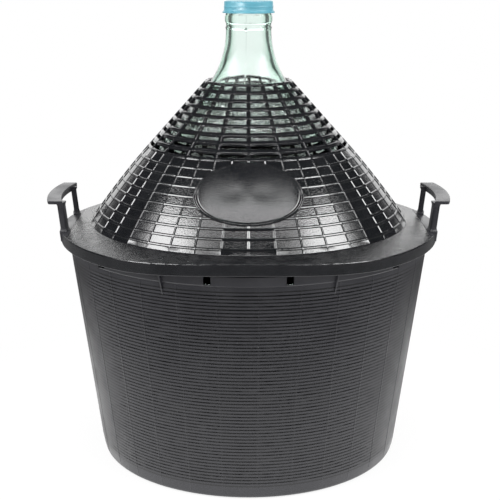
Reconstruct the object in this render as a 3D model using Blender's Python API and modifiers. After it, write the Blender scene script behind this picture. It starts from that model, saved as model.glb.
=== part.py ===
"""Demijohn: a wide glass bottle standing in a plastic basket, under an openwork cover, with a push-on cap.

Lengths are in metres and angles in degrees. +Z is up, and the origin is under the middle of the base.
The two carrying handles are on the X axis, and the oval label plate faces -Y.
"""

import math

import bmesh
import bpy
import numpy as np
from mathutils import Matrix

# Gaps between pieces, and how shapes of one piece are cut and joined
seat_gap = 0.0003
side_gap = 0.0004
overrun = 0.01
joint_bite = 0.0012
weld_distance = 0.00001

# Basket: a tapered tub
base_radius = 0.1789
basket_wall = 0.0026
basket_floor = 0.003
base_rounding = 0.005
band_foot_radius = 0.2120
band_foot_height = 0.254
band_step = 0.0012
basket_steps = 72

# Cover: its outer surface from the collar down to the lip
cover_wall = 0.0025
collar_drop = 0.0576
collar_clearance = 0.0057
cone_bend = 2.03
straight_share = 0.4437
foot_inset = 0.0278
foot_rise = 0.026
flange_fall = 0.0057
lip_clearance = 0.005
lip_height = 0.0125
arch_rise = 0.007
arch_half_angle = 42.0
solid_rows = 5

# Windows in the cover: each bar's two edges and the middle of the window after it are its three columns
bar_count = 20
columns_per_bar = 3
bar_width = 0.0033
window_rows = 9
slot_rows = 3
ring_pitch = 0.0113
collar_ring = 0.0035
window_length = 0.0066
slot_length = 0.0046

# Oval label plate on the cover
plate_width = 0.115
plate_length = 0.078
plate_distance = 0.143
plate_proud = 0.0012
plate_depth = 0.0012
plate_sides = 32
plate_rings = 3

# Carrying handles of the basket
slot_inset = 0.0093
slot_overhang = 0.017
leg_spread = 0.048
leg_thickness = 0.0065
leg_width = 0.012
leg_inset = 0.0055
leg_lean = 0.005
leg_turn = 10.0
grip_rise = 0.0325
grip_width = 0.0165
grip_thickness = 0.0036
grip_web_thickness = 0.004
grip_web_depth = 0.008
grip_overhang = 0.004

# Gussets, latch tongues and latch slots under the rim of the basket
gusset_angles = (25.5, 86.0, 94.0, 154.5, 205.5, 266.0, 274.0, 334.5)
gusset_rise = 0.012
gusset_thickness = 0.0016
gusset_height = 0.026
gusset_clearance = 0.0012
gusset_edge = 0.0012
latch_count = 6
tongue_width = 0.078
tongue_height = 0.012
tongue_proud = 0.0018
latch_slot_width = 0.008
latch_slot_rise = 0.0008
latch_slot_height = 0.009

# Glass bottle
glass_wall = 0.004
glass_floor = 0.006
heel_radius = 0.038
side_radius = 0.420
side_clearance = 0.0025
belly_height = 0.190
glass_steeper = 3.0
flare_radius = 0.105
neck_radius = 0.0261
neck_wall = 0.0058
mouth_height = 0.5309
mouth_inset = 0.0007
mouth_rounding = 0.0012
finish_height = 0.0093
bead_height = 0.0112
bead_proud = 0.0009
groove_height = 0.0028
ring_height = 0.0042
ring_proud = 0.0005
glass_steps = 48

# How many points an outline has along each large and each small rounding, and what counts as a sharp edge
arc_points = 6
small_arc_points = 4
crease_angle = 30.0

# Cap and its seal
cap_wall = 0.0024
cap_roof = 0.0020
cap_edge_rounding = 0.0010
cap_band_height = 0.0064
cap_band_proud = 0.0004
cap_skirt_flare = 0.0021
cap_skirt_height = 0.0013
cap_skirt_gap = 0.0005
seal_thickness = 0.0020
seal_inset = 0.0006
cap_steps = 48


def clear_scene():
    for item in list(bpy.data.objects):
        bpy.data.objects.remove(item, do_unlink=True)


def new_collection(name):
    collection = bpy.data.collections.new(name)
    bpy.context.scene.collection.children.link(collection)
    return collection


def new_material(name, colour, roughness, transmission=0.0):
    material = bpy.data.materials.new(name)
    material.use_nodes = True
    shader = material.node_tree.nodes["Principled BSDF"]
    shader.inputs["Base Color"].default_value = (*colour, 1.0)
    shader.inputs["Roughness"].default_value = roughness
    shader.inputs["Transmission Weight"].default_value = transmission
    material.diffuse_color = (*colour, 1.0)
    return material


def new_object(name, points, edges, faces, collection):
    mesh = bpy.data.meshes.new(name)
    mesh.from_pydata([tuple(map(float, point)) for point in points], edges, faces)
    mesh.update()
    item = bpy.data.objects.new(name, mesh)
    collection.objects.link(item)
    return item


def as_helper(item):
    item.hide_render = True
    item.display_type = "WIRE"
    return item


def finish_piece(item, material):
    item.data.materials.append(material)
    item.data.shade_smooth()
    item.data.set_sharp_from_angle(angle=math.radians(crease_angle))
    return item


def turned(name, outline, steps, collection, closed=False):
    """A turned solid: the outline (radius, height) runs down its outer side and is swept round Z."""
    count = len(outline)
    edges = [(i, (i + 1) % count) for i in range(count if closed else count - 1)]
    item = new_object(name, [(r, 0.0, z) for r, z in outline], edges, [], collection)
    screw = item.modifiers.new("turn", "SCREW")
    screw.axis = "Z"
    screw.steps = steps
    screw.render_steps = steps
    screw.use_merge_vertices = True
    screw.merge_threshold = weld_distance
    screw.use_smooth_shade = True
    return item


def boolean(item, other, operation):
    modifier = item.modifiers.new(other.name, "BOOLEAN")
    modifier.operation = operation
    modifier.object = other
    modifier.solver = "EXACT"


def box(name, low, high, collection):
    """A cube primitive stretched between two corners."""
    shape = bmesh.new()
    bmesh.ops.create_cube(shape, size=1.0)
    middle = (np.array(low) + np.array(high)) / 2
    size = np.array(high) - np.array(low)
    for vertex in shape.verts:
        vertex.co = middle + np.array(vertex.co) * size
    mesh = bpy.data.meshes.new(name)
    shape.to_mesh(mesh)
    shape.free()
    item = bpy.data.objects.new(name, mesh)
    collection.objects.link(item)
    return as_helper(item)


def heading(angle):
    """The unit direction (outward, down) of a slope that falls at this angle below level."""
    return np.array((math.cos(math.radians(angle)), -math.sin(math.radians(angle))))


def bent_run(start, first_angle, end):
    """A circular run from start to end that leaves start falling at first_angle: (point at share, length)."""
    chord = np.subtract(end, start)
    chord_length = math.hypot(*chord)
    chord_angle = math.degrees(math.atan2(-chord[1], chord[0]))
    bend = math.radians(chord_angle - first_angle)

    def point(share):
        reach = chord_length * math.sin(bend * share) / math.sin(bend)
        return np.array(start) + reach * heading(first_angle + math.degrees(bend) * share)

    return point, chord_length * bend / math.sin(bend)


# The basket's wall, and the bottle that stands inside it
wall_taper = (band_foot_radius - base_radius) / band_foot_height


def basket_radius(height):
    """The outer radius of the tub's plain wall at this height."""
    return base_radius + wall_taper * height


# The bottle's side is an arc that stands clear of the tapered wall where it comes nearest
glass_base_height = basket_floor + seat_gap
side_centre_radius = basket_radius(belly_height) - basket_wall - (side_radius + side_clearance) * math.hypot(
    1.0, wall_taper
)
side_centre = (side_centre_radius, belly_height)
belly_radius = side_centre_radius + side_radius
finish_radius = neck_radius - mouth_inset
bead_top_height = mouth_height - finish_height
bead_low_height = bead_top_height - bead_height
ring_top_height = bead_low_height - groove_height
ring_low_height = ring_top_height - ring_height

# The cover's foot and flange follow the basket's rim, and its collar follows the bottle's flare
cone_foot_height = band_foot_height + foot_rise
lip_top_height = cone_foot_height - flange_fall
lip_bottom = lip_top_height - lip_height
rim_radius = basket_radius(lip_top_height) + band_step
cone_foot_radius = rim_radius - foot_inset
flange_radius = rim_radius + lip_clearance + cover_wall
flare_centre = (neck_radius + flare_radius, ring_low_height)
collar_height = ring_low_height - collar_drop
collar_radius = flare_centre[0] - math.sqrt(flare_radius**2 - collar_drop**2) + collar_clearance

# The cover's cone: straight from the collar, then bending down to its foot
collar_edge = np.array((collar_radius, collar_height))
cone_chord = np.array((cone_foot_radius, cone_foot_height)) - collar_edge
shoulder_slope = math.degrees(math.atan2(-cone_chord[1], cone_chord[0])) - cone_bend
straight_length = straight_share * math.hypot(*cone_chord)
straight_end = collar_edge + straight_length * heading(shoulder_slope)
lower_cone, lower_length = bent_run(straight_end, shoulder_slope, (cone_foot_radius, cone_foot_height))
cone_length = straight_length + lower_length

# The bottle's shoulder runs straight between the neck's flare and an arc that ends at the belly
glass_slope = shoulder_slope + glass_steeper
slope_sine, slope_cosine = math.sin(math.radians(glass_slope)), math.cos(math.radians(glass_slope))
flare_end = (flare_centre[0] - flare_radius * slope_sine, flare_centre[1] - flare_radius * slope_cosine)
shoulder_radius = (
    (flare_end[1] - belly_height) * slope_cosine - (belly_radius - flare_end[0]) * slope_sine
) / (1.0 - slope_sine)
shoulder_centre = (belly_radius - shoulder_radius, belly_height)

# The handles follow the rim, and their grips follow their legs
slot_distance = rim_radius - slot_inset
slot_half_width = leg_spread + leg_width / 2 + slot_overhang
leg_foot_distance = slot_distance + leg_inset
grip_height = cone_foot_height + grip_rise
grip_inner_radius = math.hypot(leg_foot_distance + leg_lean, leg_spread) - joint_bite
grip_outer_radius = grip_inner_radius + grip_width
grip_half_width = leg_spread + leg_width / 2 + grip_overhang


def cone_point(distance):
    """The point (radius, height) on the cover's outer surface, this far down its slope from the collar."""
    if distance <= straight_length:
        return collar_edge + distance * heading(shoulder_slope)
    return lower_cone((distance - straight_length) / lower_length)


def flange_height(radius):
    """The height of the flange's top, which falls evenly from the cone's foot to the lip."""
    share = (radius - cone_foot_radius) / (flange_radius - cone_foot_radius)
    return cone_foot_height - flange_fall * share


# The rim stands just under the flange, whose wall is measured square to its slope
flange_slant = math.hypot(1.0, flange_fall / (flange_radius - cone_foot_radius))
rim_height = flange_height(rim_radius) - cover_wall * flange_slant - seat_gap


def arch(angle):
    """How far the lip rises at this angle from the front or the back, where it arches over a latch."""
    away = abs((angle + 90.0) % 180.0 - 90.0)
    if away >= arch_half_angle:
        return 0.0
    return arch_rise * (0.5 + 0.5 * math.cos(math.pi * away / arch_half_angle))


def window_spans():
    """Where each row of windows starts and ends down the slope; the lowest rows are shorter slots."""
    spans = []
    for row in range(window_rows):
        length = slot_length if row >= window_rows - slot_rows else window_length
        start = collar_ring + row * ring_pitch + (window_length - length) / 2
        spans.append((start, start + length))
    return spans


def cover_rows():
    """The grid's rows from the collar to the lip: (radius, height, share of the arch, half bar angle)."""
    distances = [0.0] + [edge for span in window_spans() for edge in span]
    even_half = 360.0/ bar_count / columns_per_bar / 2
    rows = []
    for distance in distances:
        radius, height = cone_point(distance)
        rows.append((radius, height, 0.0, math.degrees(bar_width / 2 / radius)))
    for distance in np.linspace(distances[-1], cone_length, solid_rows + 1)[1:]:
        radius, height = cone_point(distance)
        rows.append((radius, height, 0.0, even_half))
    rows.append((flange_radius, flange_height(flange_radius), 1.0, even_half))
    rows.append((flange_radius, lip_bottom, 1.0, even_half))
    return rows


def row_angles(half_bar):
    """Each bar's two edges and the middle of the window after it, in degrees from the front."""
    pitch = 360.0 / bar_count
    return [bar * pitch + turn for bar in range(bar_count) for turn in (-half_bar, half_bar, pitch / 2)]


def round_axis(radius, height, angle):
    """A point at this angle from the front (-Y), turning towards +X."""
    turn = math.radians(angle)
    return (radius * math.sin(turn), -radius * math.cos(turn), height)


def make_label_plate(helpers):
    """An oval pad that follows the cone: rings of points on its surface, thickened by a Solidify modifier."""
    points = [(0.0, plate_distance)]
    for ring in range(1, plate_rings + 1):
        share = ring / plate_rings
        for side in range(plate_sides):
            turn = 2 * math.pi * side / plate_sides
            across = plate_width / 2 * share * math.cos(turn)
            down = plate_distance + plate_length / 2 * share * math.sin(turn)
            points.append((across, down))
    faces = []
    for side in range(plate_sides):
        following = (side + 1) % plate_sides
        faces.append((0, 1 + side, 1 + following))
        for ring in range(plate_rings - 1):
            inner, outer = 1 + ring * plate_sides, 1 + (ring + 1) * plate_sides
            faces.append((inner + side, outer + side, outer + following, inner + following))
    middle_radius = cone_point(plate_distance)[0]
    placed = []
    for across, down in points:
        radius, height = cone_point(down)
        placed.append(round_axis(radius, height, math.degrees(across / middle_radius)))
    outward = [face[::-1] for face in faces]
    plate = as_helper(new_object("label_plate_pad", placed, [], outward, helpers))
    # The offset splits the pad's thickness into what stands proud of the cone and what is sunk into it.
    pad = plate.modifiers.new("pad", "SOLIDIFY")
    pad.thickness = plate_proud + plate_depth
    pad.offset = (plate_proud - plate_depth) / (plate_proud + plate_depth)
    pad.use_even_offset = True
    return plate


def make_cover(parts, helpers, material):
    rows = cover_rows()
    columns = columns_per_bar * bar_count
    points = []
    for radius, height, arch_share, half_bar in rows:
        for angle in row_angles(half_bar):
            points.append(round_axis(radius, height + arch_share * arch(angle), angle))
    faces = []
    for row in range(len(rows) - 1):
        is_window_row = row % 2 == 1 and row < 2 * window_rows
        for column in range(columns):
            if is_window_row and column % columns_per_bar != 0:
                continue
            following = (column + 1) % columns
            top, low = row * columns, (row + 1) * columns
            faces.append((top + column, low + column, low + following, top + following))
    cover = new_object("cover", points, [], faces, parts)
    wall = cover.modifiers.new("wall", "SOLIDIFY")
    wall.thickness = cover_wall
    wall.offset = -1.0
    wall.use_even_offset = True
    boolean(cover, make_label_plate(helpers), "UNION")
    for name, side in (("right", 1), ("left", -1)):
        edges = sorted((side * slot_distance, side * (flange_radius + overrun)))
        notch = box(
            f"handle_notch_{name}",
            (edges[0], -slot_half_width, lip_bottom - overrun),
            (edges[1], slot_half_width, cone_foot_height + overrun),
            helpers,
        )
        boolean(cover, notch, "DIFFERENCE")
    return finish_piece(cover, material)


def rounding(centre, radius, first, last, count):
    """Points on an arc in the (radius, height) plane, from one angle to the other."""
    turns = np.radians(np.linspace(first, last, count))
    return [(centre[0] + radius * math.cos(t), centre[1] + radius * math.sin(t)) for t in turns]


def make_handle(side, name, helpers):
    """One carrying handle: a root that fills the cover's notch, two leaning legs and an L-shaped grip."""
    root_outline = [
        (slot_distance, flange_height(slot_distance)),
        (flange_radius, flange_height(flange_radius)),
        (flange_radius, lip_bottom),
        (slot_distance, lip_bottom),
    ]
    grip_outline = [
        (grip_inner_radius, grip_height),
        (grip_outer_radius, grip_height),
        (grip_outer_radius, grip_height - grip_thickness),
        (grip_inner_radius + grip_web_thickness, grip_height - grip_thickness),
        (grip_inner_radius + grip_web_thickness, grip_height - grip_web_depth),
        (grip_inner_radius, grip_height - grip_web_depth),
    ]
    pieces = []
    for part_name, outline, near, half_width in (
        ("root", root_outline, slot_distance + side_gap, slot_half_width - side_gap),
        ("grip", grip_outline, leg_foot_distance - leg_thickness, grip_half_width),
    ):
        ring = as_helper(turned(f"handle_{part_name}_{name}", outline, basket_steps, helpers, closed=True))
        far = side * (grip_outer_radius + overrun)
        low_x, high_x = sorted((side * near, far))
        keep = box(
            f"handle_{part_name}_keep_{name}",
            (low_x, -half_width, lip_bottom - overrun),
            (high_x, half_width, grip_height + overrun),
            helpers,
        )
        boolean(ring, keep, "INTERSECT")
        pieces.append(ring)
    foot_height = lip_bottom + basket_wall
    top_height = grip_height - grip_thickness / 2
    for end in (-1, 1):
        leg = box(
            f"handle_leg_{name}_{'front' if end < 0 else 'back'}",
            (-leg_thickness / 2, -leg_width / 2, foot_height),
            (leg_thickness / 2, leg_width / 2, top_height),
            helpers,
        )
        turn = math.radians(-side * end * leg_turn)
        for vertex in leg.data.vertices:
            x, y, z = vertex.co
            lean = leg_lean * (z - foot_height) / (top_height - foot_height)
            vertex.co = (
                side * (leg_foot_distance + lean) + x * math.cos(turn) - y * math.sin(turn),
                end * leg_spread + x * math.sin(turn) + y * math.cos(turn),
                z,
            )
        pieces.append(leg)
    return pieces


def flat_plate(name, outline, thickness, collection):
    """A plate in the XZ plane: a filled 2D curve through the outline's points, made a closed mesh."""
    curve = bpy.data.curves.new(name, "CURVE")
    curve.dimensions = "2D"
    curve.fill_mode = "BOTH"
    curve.extrude = thickness / 2
    spline = curve.splines.new("POLY")
    spline.points.add(len(outline) - 1)
    for point, (x, z) in zip(spline.points, outline):
        point.co = (x, z, 0.0, 1.0)
    spline.use_cyclic_u = True
    drawn = bpy.data.objects.new(name, curve)
    collection.objects.link(drawn)
    bpy.context.view_layer.update()
    mesh = bpy.data.meshes.new_from_object(drawn.evaluated_get(bpy.context.evaluated_depsgraph_get()))
    bpy.data.objects.remove(drawn, do_unlink=True)
    shape = bmesh.new()
    shape.from_mesh(mesh)
    bmesh.ops.remove_doubles(shape, verts=shape.verts, dist=weld_distance)
    bmesh.ops.rotate(shape, verts=shape.verts, matrix=Matrix.Rotation(math.radians(90.0), 3, "X"))
    bmesh.ops.recalc_face_normals(shape, faces=shape.faces)
    shape.to_mesh(mesh)
    shape.free()
    plate = bpy.data.objects.new(name, mesh)
    collection.objects.link(plate)
    return as_helper(plate)


def turn_round_axis(item, angle):
    """Turns a mesh round Z by this angle, seen from above, so that its object stays unturned."""
    item.data.transform(Matrix.Rotation(math.radians(angle), 4, "Z"))


def make_gusset(number, angle, helpers):
    """A thin three-cornered rib that stiffens the wall under the rim."""
    top_height = band_foot_height + gusset_rise
    low_height = top_height - gusset_height
    tip_radius = flange_radius - cover_wall - gusset_clearance
    outline = [
        (basket_radius(low_height) - joint_bite, low_height),
        (basket_radius(low_height), low_height),
        (tip_radius, top_height - gusset_edge),
        (tip_radius, top_height),
        (basket_radius(top_height) - joint_bite, top_height),
    ]
    gusset = flat_plate(f"gusset_{number}", outline, gusset_thickness, helpers)
    turn_round_axis(gusset, angle - 90.0)
    return gusset


def make_latches(basket, helpers):
    """Springy tongues in the rim band. Each is made a little too wide, and the slots beside it trim its ends."""
    tongue_radius = basket_radius(band_foot_height) + band_step
    sagitta = tongue_radius - math.sqrt(tongue_radius**2 - (tongue_width / 2) ** 2)
    near_y, far_y = -tongue_radius - overrun, -tongue_radius + sagitta + overrun
    low_height = band_foot_height + band_step
    top_height = band_foot_height + tongue_height
    outline = [
        (tongue_radius - joint_bite, top_height),
        (tongue_radius + tongue_proud, top_height),
        (tongue_radius + tongue_proud, low_height),
        (tongue_radius - joint_bite, low_height),
    ]
    for number in range(latch_count):
        angle = 360.0 / latch_count * number
        tongue = turned(f"latch_tongue_{number}", outline, basket_steps, helpers, closed=True)
        keep = box(
            f"latch_tongue_keep_{number}",
            (-tongue_width / 2 - joint_bite, near_y, low_height - overrun),
            (tongue_width / 2 + joint_bite, far_y, top_height + overrun),
            helpers,
        )
        turn_round_axis(keep, angle)
        boolean(as_helper(tongue), keep, "INTERSECT")
        boolean(basket, tongue, "UNION")
        for end in (-1, 1):
            inner, outer = sorted((end * tongue_width / 2, end * (tongue_width / 2 + latch_slot_width)))
            slot = box(
                f"latch_slot_{number}_{'left' if end < 0 else 'right'}",
                (inner, near_y, low_height + latch_slot_rise),
                (outer, far_y, low_height + latch_slot_rise + latch_slot_height),
                helpers,
            )
            turn_round_axis(slot, angle)
            boolean(basket, slot, "DIFFERENCE")


def make_basket(parts, helpers, material):
    inner_base = base_radius - basket_wall
    outline = [
        (0.0, basket_floor),
        (inner_base - base_rounding, basket_floor),
        (basket_radius(basket_floor + base_rounding) - basket_wall, basket_floor + base_rounding),
        (rim_radius - band_step - basket_wall, rim_height),
        (rim_radius, rim_height),
        (basket_radius(band_foot_height) + band_step, band_foot_height + band_step),
        (basket_radius(band_foot_height), band_foot_height),
    ]
    base_centre = (base_radius - base_rounding, base_rounding)
    outline += rounding(base_centre, base_rounding, 0, -90, small_arc_points)
    outline.append((0.0, 0.0))
    basket = turned("basket", outline, basket_steps, parts)
    make_latches(basket, helpers)
    for number, angle in enumerate(gusset_angles):
        boolean(basket, make_gusset(number, angle, helpers), "UNION")
    for side, name in ((1, "right"), (-1, "left")):
        for piece in make_handle(side, name, helpers):
            boolean(basket, piece, "UNION")
    return finish_piece(basket, material)


def heel_of(base_height, heel, side):
    """The heel's rounding that meets the side's arc with no corner: its centre, and the angle where they meet."""
    height = base_height + heel
    drop = belly_height - height
    reach = math.sqrt((side - heel) ** 2 - drop**2)
    return (side_centre_radius + reach, height), math.degrees(math.asin(drop / (side - heel)))


def glass_outside():
    """The bottle's outer outline from the mouth down to the middle of its foot."""
    mouth_centre = (finish_radius - mouth_rounding, mouth_height - mouth_rounding)
    outline = rounding(mouth_centre, mouth_rounding, 90, 0, small_arc_points)
    bead_radius = neck_radius + bead_proud
    outline += [
        (finish_radius, bead_top_height),
        (bead_radius, bead_top_height - bead_proud),
        (bead_radius, bead_low_height + bead_proud),
        (neck_radius, bead_low_height),
        (neck_radius + ring_proud, ring_top_height - ring_proud),
        (neck_radius + ring_proud, ring_low_height + ring_proud),
    ]
    outline += rounding(flare_centre, flare_radius, 180, 270 - glass_slope, arc_points)
    heel_centre, meeting = heel_of(glass_base_height, heel_radius, side_radius)
    outline += rounding(shoulder_centre, shoulder_radius, 90 - glass_slope, 0, arc_points)
    outline += rounding(side_centre, side_radius, 0, -meeting, arc_points)[1:]
    outline += rounding(heel_centre, heel_radius, -meeting, -90, arc_points)[1:]
    return outline + [(0.0, glass_base_height)]


def glass_inside():
    """The bottle's inner outline from the middle of its floor up to the mouth."""
    inner_heel, inner_side = heel_radius - glass_wall, side_radius - glass_wall
    heel_centre, meeting = heel_of(glass_base_height + glass_floor, inner_heel, inner_side)
    outline = [(0.0, glass_base_height + glass_floor)]
    outline += rounding(heel_centre, inner_heel, -90, -meeting, arc_points)
    outline += rounding(side_centre, inner_side, -meeting, 0, arc_points)[1:]
    outline += rounding(shoulder_centre, shoulder_radius - glass_wall, 0, 90 - glass_slope, arc_points)[1:]
    outline += rounding(flare_centre, flare_radius + neck_wall, 270 - glass_slope, 180, arc_points)
    return outline + [(neck_radius - neck_wall, mouth_height)]


def make_glass(parts, material):
    return finish_piece(turned("glass_bottle", glass_inside() + glass_outside(), glass_steps, parts), material)


cap_bore_radius = finish_radius + side_gap
cap_radius = cap_bore_radius + cap_wall
seal_bottom = mouth_height + seat_gap
roof_inside = seal_bottom + seal_thickness + seat_gap
cap_bottom = bead_top_height + cap_skirt_gap


def make_cap(parts, material):
    top = roof_inside + cap_roof
    band_height = top - cap_band_height
    edge_centre = (cap_radius - cap_edge_rounding, top - cap_edge_rounding)
    outline = [(0.0, top)]
    outline += rounding(edge_centre, cap_edge_rounding, 90, 0, small_arc_points)
    outline += [
        (cap_radius, band_height + cap_band_proud),
        (cap_radius + cap_band_proud, band_height),
        (cap_radius, band_height - cap_band_proud),
        (cap_radius, cap_bottom + cap_skirt_height + cap_skirt_flare),
        (cap_radius + cap_skirt_flare, cap_bottom + cap_skirt_height),
        (cap_radius + cap_skirt_flare, cap_bottom),
        (cap_bore_radius, cap_bottom),
        (cap_bore_radius, roof_inside),
        (0.0, roof_inside),
    ]
    return finish_piece(turned("cap", outline, cap_steps, parts), material)


def make_seal(parts, material):
    radius = cap_bore_radius - seal_inset
    outline = [
        (0.0, seal_bottom + seal_thickness),
        (radius, seal_bottom + seal_thickness),
        (radius, seal_bottom),
        (0.0, seal_bottom),
    ]
    return finish_piece(turned("cap_seal", outline, cap_steps, parts), material)


def main():
    clear_scene()
    parts = new_collection("demijohn")
    helpers = new_collection("cutters")
    make_basket(parts, helpers, new_material("basket_plastic", (0.065, 0.065, 0.072), 0.45))
    make_glass(parts, new_material("green_glass", (0.72, 0.86, 0.78), 0.05, transmission=1.0))
    make_cover(parts, helpers, new_material("cover_plastic", (0.018, 0.020, 0.023), 0.25))
    make_cap(parts, new_material("cap_plastic", (0.19, 0.55, 0.72), 0.35))
    make_seal(parts, new_material("seal_foam", (0.85, 0.85, 0.82), 0.6))


main()
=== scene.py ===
# %% [markdown]
# # A demijohn in its basket
# A demijohn is a wide blown bottle for wine. It stands in a tapered plastic basket with two carrying
# handles. An openwork plastic cover protects its shoulder, and a push-on cap closes its mouth. The packed
# model gives the place and size of every piece. This lesson dresses each piece in a finer surface. Each
# surface is worked out with numpy as a whole array of points, because that keeps its formula in sight.

# %% Load the frame
import math
import bpy
import numpy as np
from mathutils import Matrix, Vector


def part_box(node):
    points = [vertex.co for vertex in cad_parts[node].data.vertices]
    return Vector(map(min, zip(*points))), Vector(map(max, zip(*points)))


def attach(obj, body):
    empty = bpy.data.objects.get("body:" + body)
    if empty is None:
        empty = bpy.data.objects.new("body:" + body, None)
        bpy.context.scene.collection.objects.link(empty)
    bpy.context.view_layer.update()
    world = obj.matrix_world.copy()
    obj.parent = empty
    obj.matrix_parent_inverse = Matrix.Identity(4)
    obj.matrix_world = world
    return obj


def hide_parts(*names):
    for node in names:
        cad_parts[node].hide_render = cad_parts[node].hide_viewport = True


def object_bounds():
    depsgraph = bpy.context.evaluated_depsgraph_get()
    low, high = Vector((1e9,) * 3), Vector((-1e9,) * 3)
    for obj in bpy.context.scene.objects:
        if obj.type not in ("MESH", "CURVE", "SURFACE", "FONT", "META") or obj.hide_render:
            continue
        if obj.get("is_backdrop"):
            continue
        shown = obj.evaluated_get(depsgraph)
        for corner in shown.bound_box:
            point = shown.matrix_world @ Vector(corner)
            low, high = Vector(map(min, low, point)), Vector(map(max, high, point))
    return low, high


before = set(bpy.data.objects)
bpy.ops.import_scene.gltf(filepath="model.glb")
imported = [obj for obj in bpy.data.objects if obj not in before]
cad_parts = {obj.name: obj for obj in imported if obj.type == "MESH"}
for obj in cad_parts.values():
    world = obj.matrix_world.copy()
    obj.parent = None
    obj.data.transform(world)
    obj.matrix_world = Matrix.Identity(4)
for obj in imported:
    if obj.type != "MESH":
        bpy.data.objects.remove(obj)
cad_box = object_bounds()

# %% [markdown]
# ## Meshes from arrays
# A turned or moulded surface is a grid: its rows run down the outer side, and its columns go round the
# axis. Blender could turn a drawn outline with a Screw modifier, but a grid also takes ribs, windows and
# notches. Azimuth is measured from the front, which faces -Y, and grows towards +X.

# %% Grid helpers
crease_angle = math.radians(25.0)
rib_crease, rim_crease = math.radians(13.0), math.radians(40.0)
turn = 2 * math.pi


def placed(radius, height, azimuth):
    """Points from radius, height and azimuth: x is radius times sine, y is minus radius times cosine."""
    radius, height, azimuth = np.broadcast_arrays(radius, height, azimuth)
    return np.stack((radius * np.sin(azimuth), -radius * np.cos(azimuth), height), -1)


def from_nearest(angle, step):
    """How far an angle lies from the nearest whole number of steps, between minus and plus half a step."""
    return (angle + step / 2) % step - step / 2


def grid_faces(rows, columns):
    """Quads between neighbouring rows and columns, as an array (rows - 1, columns, 4), closed all round."""
    row = np.arange(rows - 1)[:, None] * columns
    column = np.arange(columns)[None, :]
    following = (column + 1) % columns
    return np.stack((row + column, row + columns + column, row + columns + following, row + following), -1)


def fans(rows, columns):
    """Triangles from a pole to a grid's first row, and from another pole to its last row. The poles are the
    two points that come after the grid's own."""
    column = np.arange(columns)
    following = (column + 1) % columns
    pole = np.full(columns, rows * columns)
    last = (rows - 1) * columns
    return np.stack((pole, column, following), 1), np.stack((last + column, pole + 1, last + following), 1)


def open_edges(faces):
    """The edges (from, to) that only one face has."""
    ends = np.stack((faces, np.roll(faces, -1, axis=1)), -1).reshape(-1, 2)
    key = ends.min(1) * (ends.max() + 1) + ends.max(1)
    _, first, count = np.unique(key, return_index=True, return_counts=True)
    return ends[first[count == 1]]


def with_thickness(outer, inner, faces):
    """Two layers of one grid, joined along every open edge by a strip of quads."""
    edges = open_edges(faces)
    back = edges + len(outer)
    rims = np.stack((edges[:, 1], edges[:, 0], back[:, 0], back[:, 1]), 1)
    return np.vstack((outer, inner)), np.vstack((faces, faces[:, ::-1] + len(outer), rims))


def make_piece(name, points, *faces, crease=crease_angle):
    """A smooth-shaded mesh object with sharp creases. Points that no face uses are dropped."""
    rows = [row for block in faces for row in np.asarray(block).tolist()]
    corners = np.concatenate([np.asarray(block).ravel() for block in faces])
    used = np.unique(corners)
    number = np.zeros(len(points), int)
    number[used] = np.arange(len(used))
    mesh = bpy.data.meshes.new(name)
    mesh.from_pydata(points[used].tolist(), [], [number[row].tolist() for row in rows])
    mesh.shade_smooth()
    mesh.set_sharp_from_angle(angle=crease)
    piece = bpy.data.objects.new(name, mesh)
    bpy.context.scene.collection.objects.link(piece)
    mesh.calc_loop_triangles()
    print(f"{name}: {len(used)} points, {len(mesh.loop_triangles)} triangles")
    return piece


def dress(piece, body, node, material):
    """The piece moves with a body, stands for a node of the frame and takes its finish."""
    piece.data.materials.append(material)
    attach(piece, body)
    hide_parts(node)


def arc(centre, radius, first, last, count):
    """Points on a circle in the (radius, height) plane, from one angle to the other, in degrees."""
    angle = np.radians(np.linspace(first, last, count))
    return np.stack((centre[0] + radius * np.cos(angle), centre[1] + radius * np.sin(angle)), -1)


def turned_grid(profile, azimuths, relief=0.0):
    """Points and faces of a profile turned round the axis. It starts and ends on the axis, and runs down
    its outer side. The relief, one value for each row and column between the poles, is added to the
    radius."""
    ring = profile[1:-1]
    points = placed(ring[:, 0, None] + relief, ring[:, 1, None], azimuths).reshape(-1, 3)
    size = len(ring), len(azimuths)
    return np.vstack((points, placed(0.0, profile[[0, -1], 1], 0.0))), grid_faces(*size), fans(*size)


def smooth_turned(name, profile, columns):
    """A plain turned piece with evenly spaced columns."""
    points, sides, ends = turned_grid(profile, turn * np.arange(columns) / columns)
    return make_piece(name, points, sides.reshape(-1, 4), *ends)

# %% [markdown]
# ## The basket's tapered wall
# Every other size follows the basket: its wall leans out by the same amount for each millimetre of height.
# The height of its rim and the thickness of the cover's wall are given here as numbers.
# The frame gives the height of its rim and the reach of its cover, so those are read and not typed.

# %% Basket sizes, in metres
base_radius = 0.1789
basket_wall = 0.0026
basket_floor = 0.003
base_rounding = 0.005
band_foot_radius = 0.2120
band_foot_height = 0.254
band_step = 0.0012
wall_taper = (band_foot_radius - base_radius) / band_foot_height
rim_height = 0.27267
cover_wall = 0.0025


def basket_radius(height):
    """Outer radius of the plain wall: the base radius plus the taper times the height."""
    return base_radius + wall_taper * height


print(f"wall leans {math.degrees(math.atan(wall_taper)):.1f} degrees, rim at {rim_height * 1000:.1f} mm")

# %% [markdown]
# ## The cover's outline
# The cover runs straight down from its collar, bends evenly steeper to its foot, turns out into a flange
# and ends in a short upright lip. One list of rows holds this outline twice: once for the outer skin and
# once for the inner one. Ribs and rings are then only a height added to the outer skin.

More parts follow.
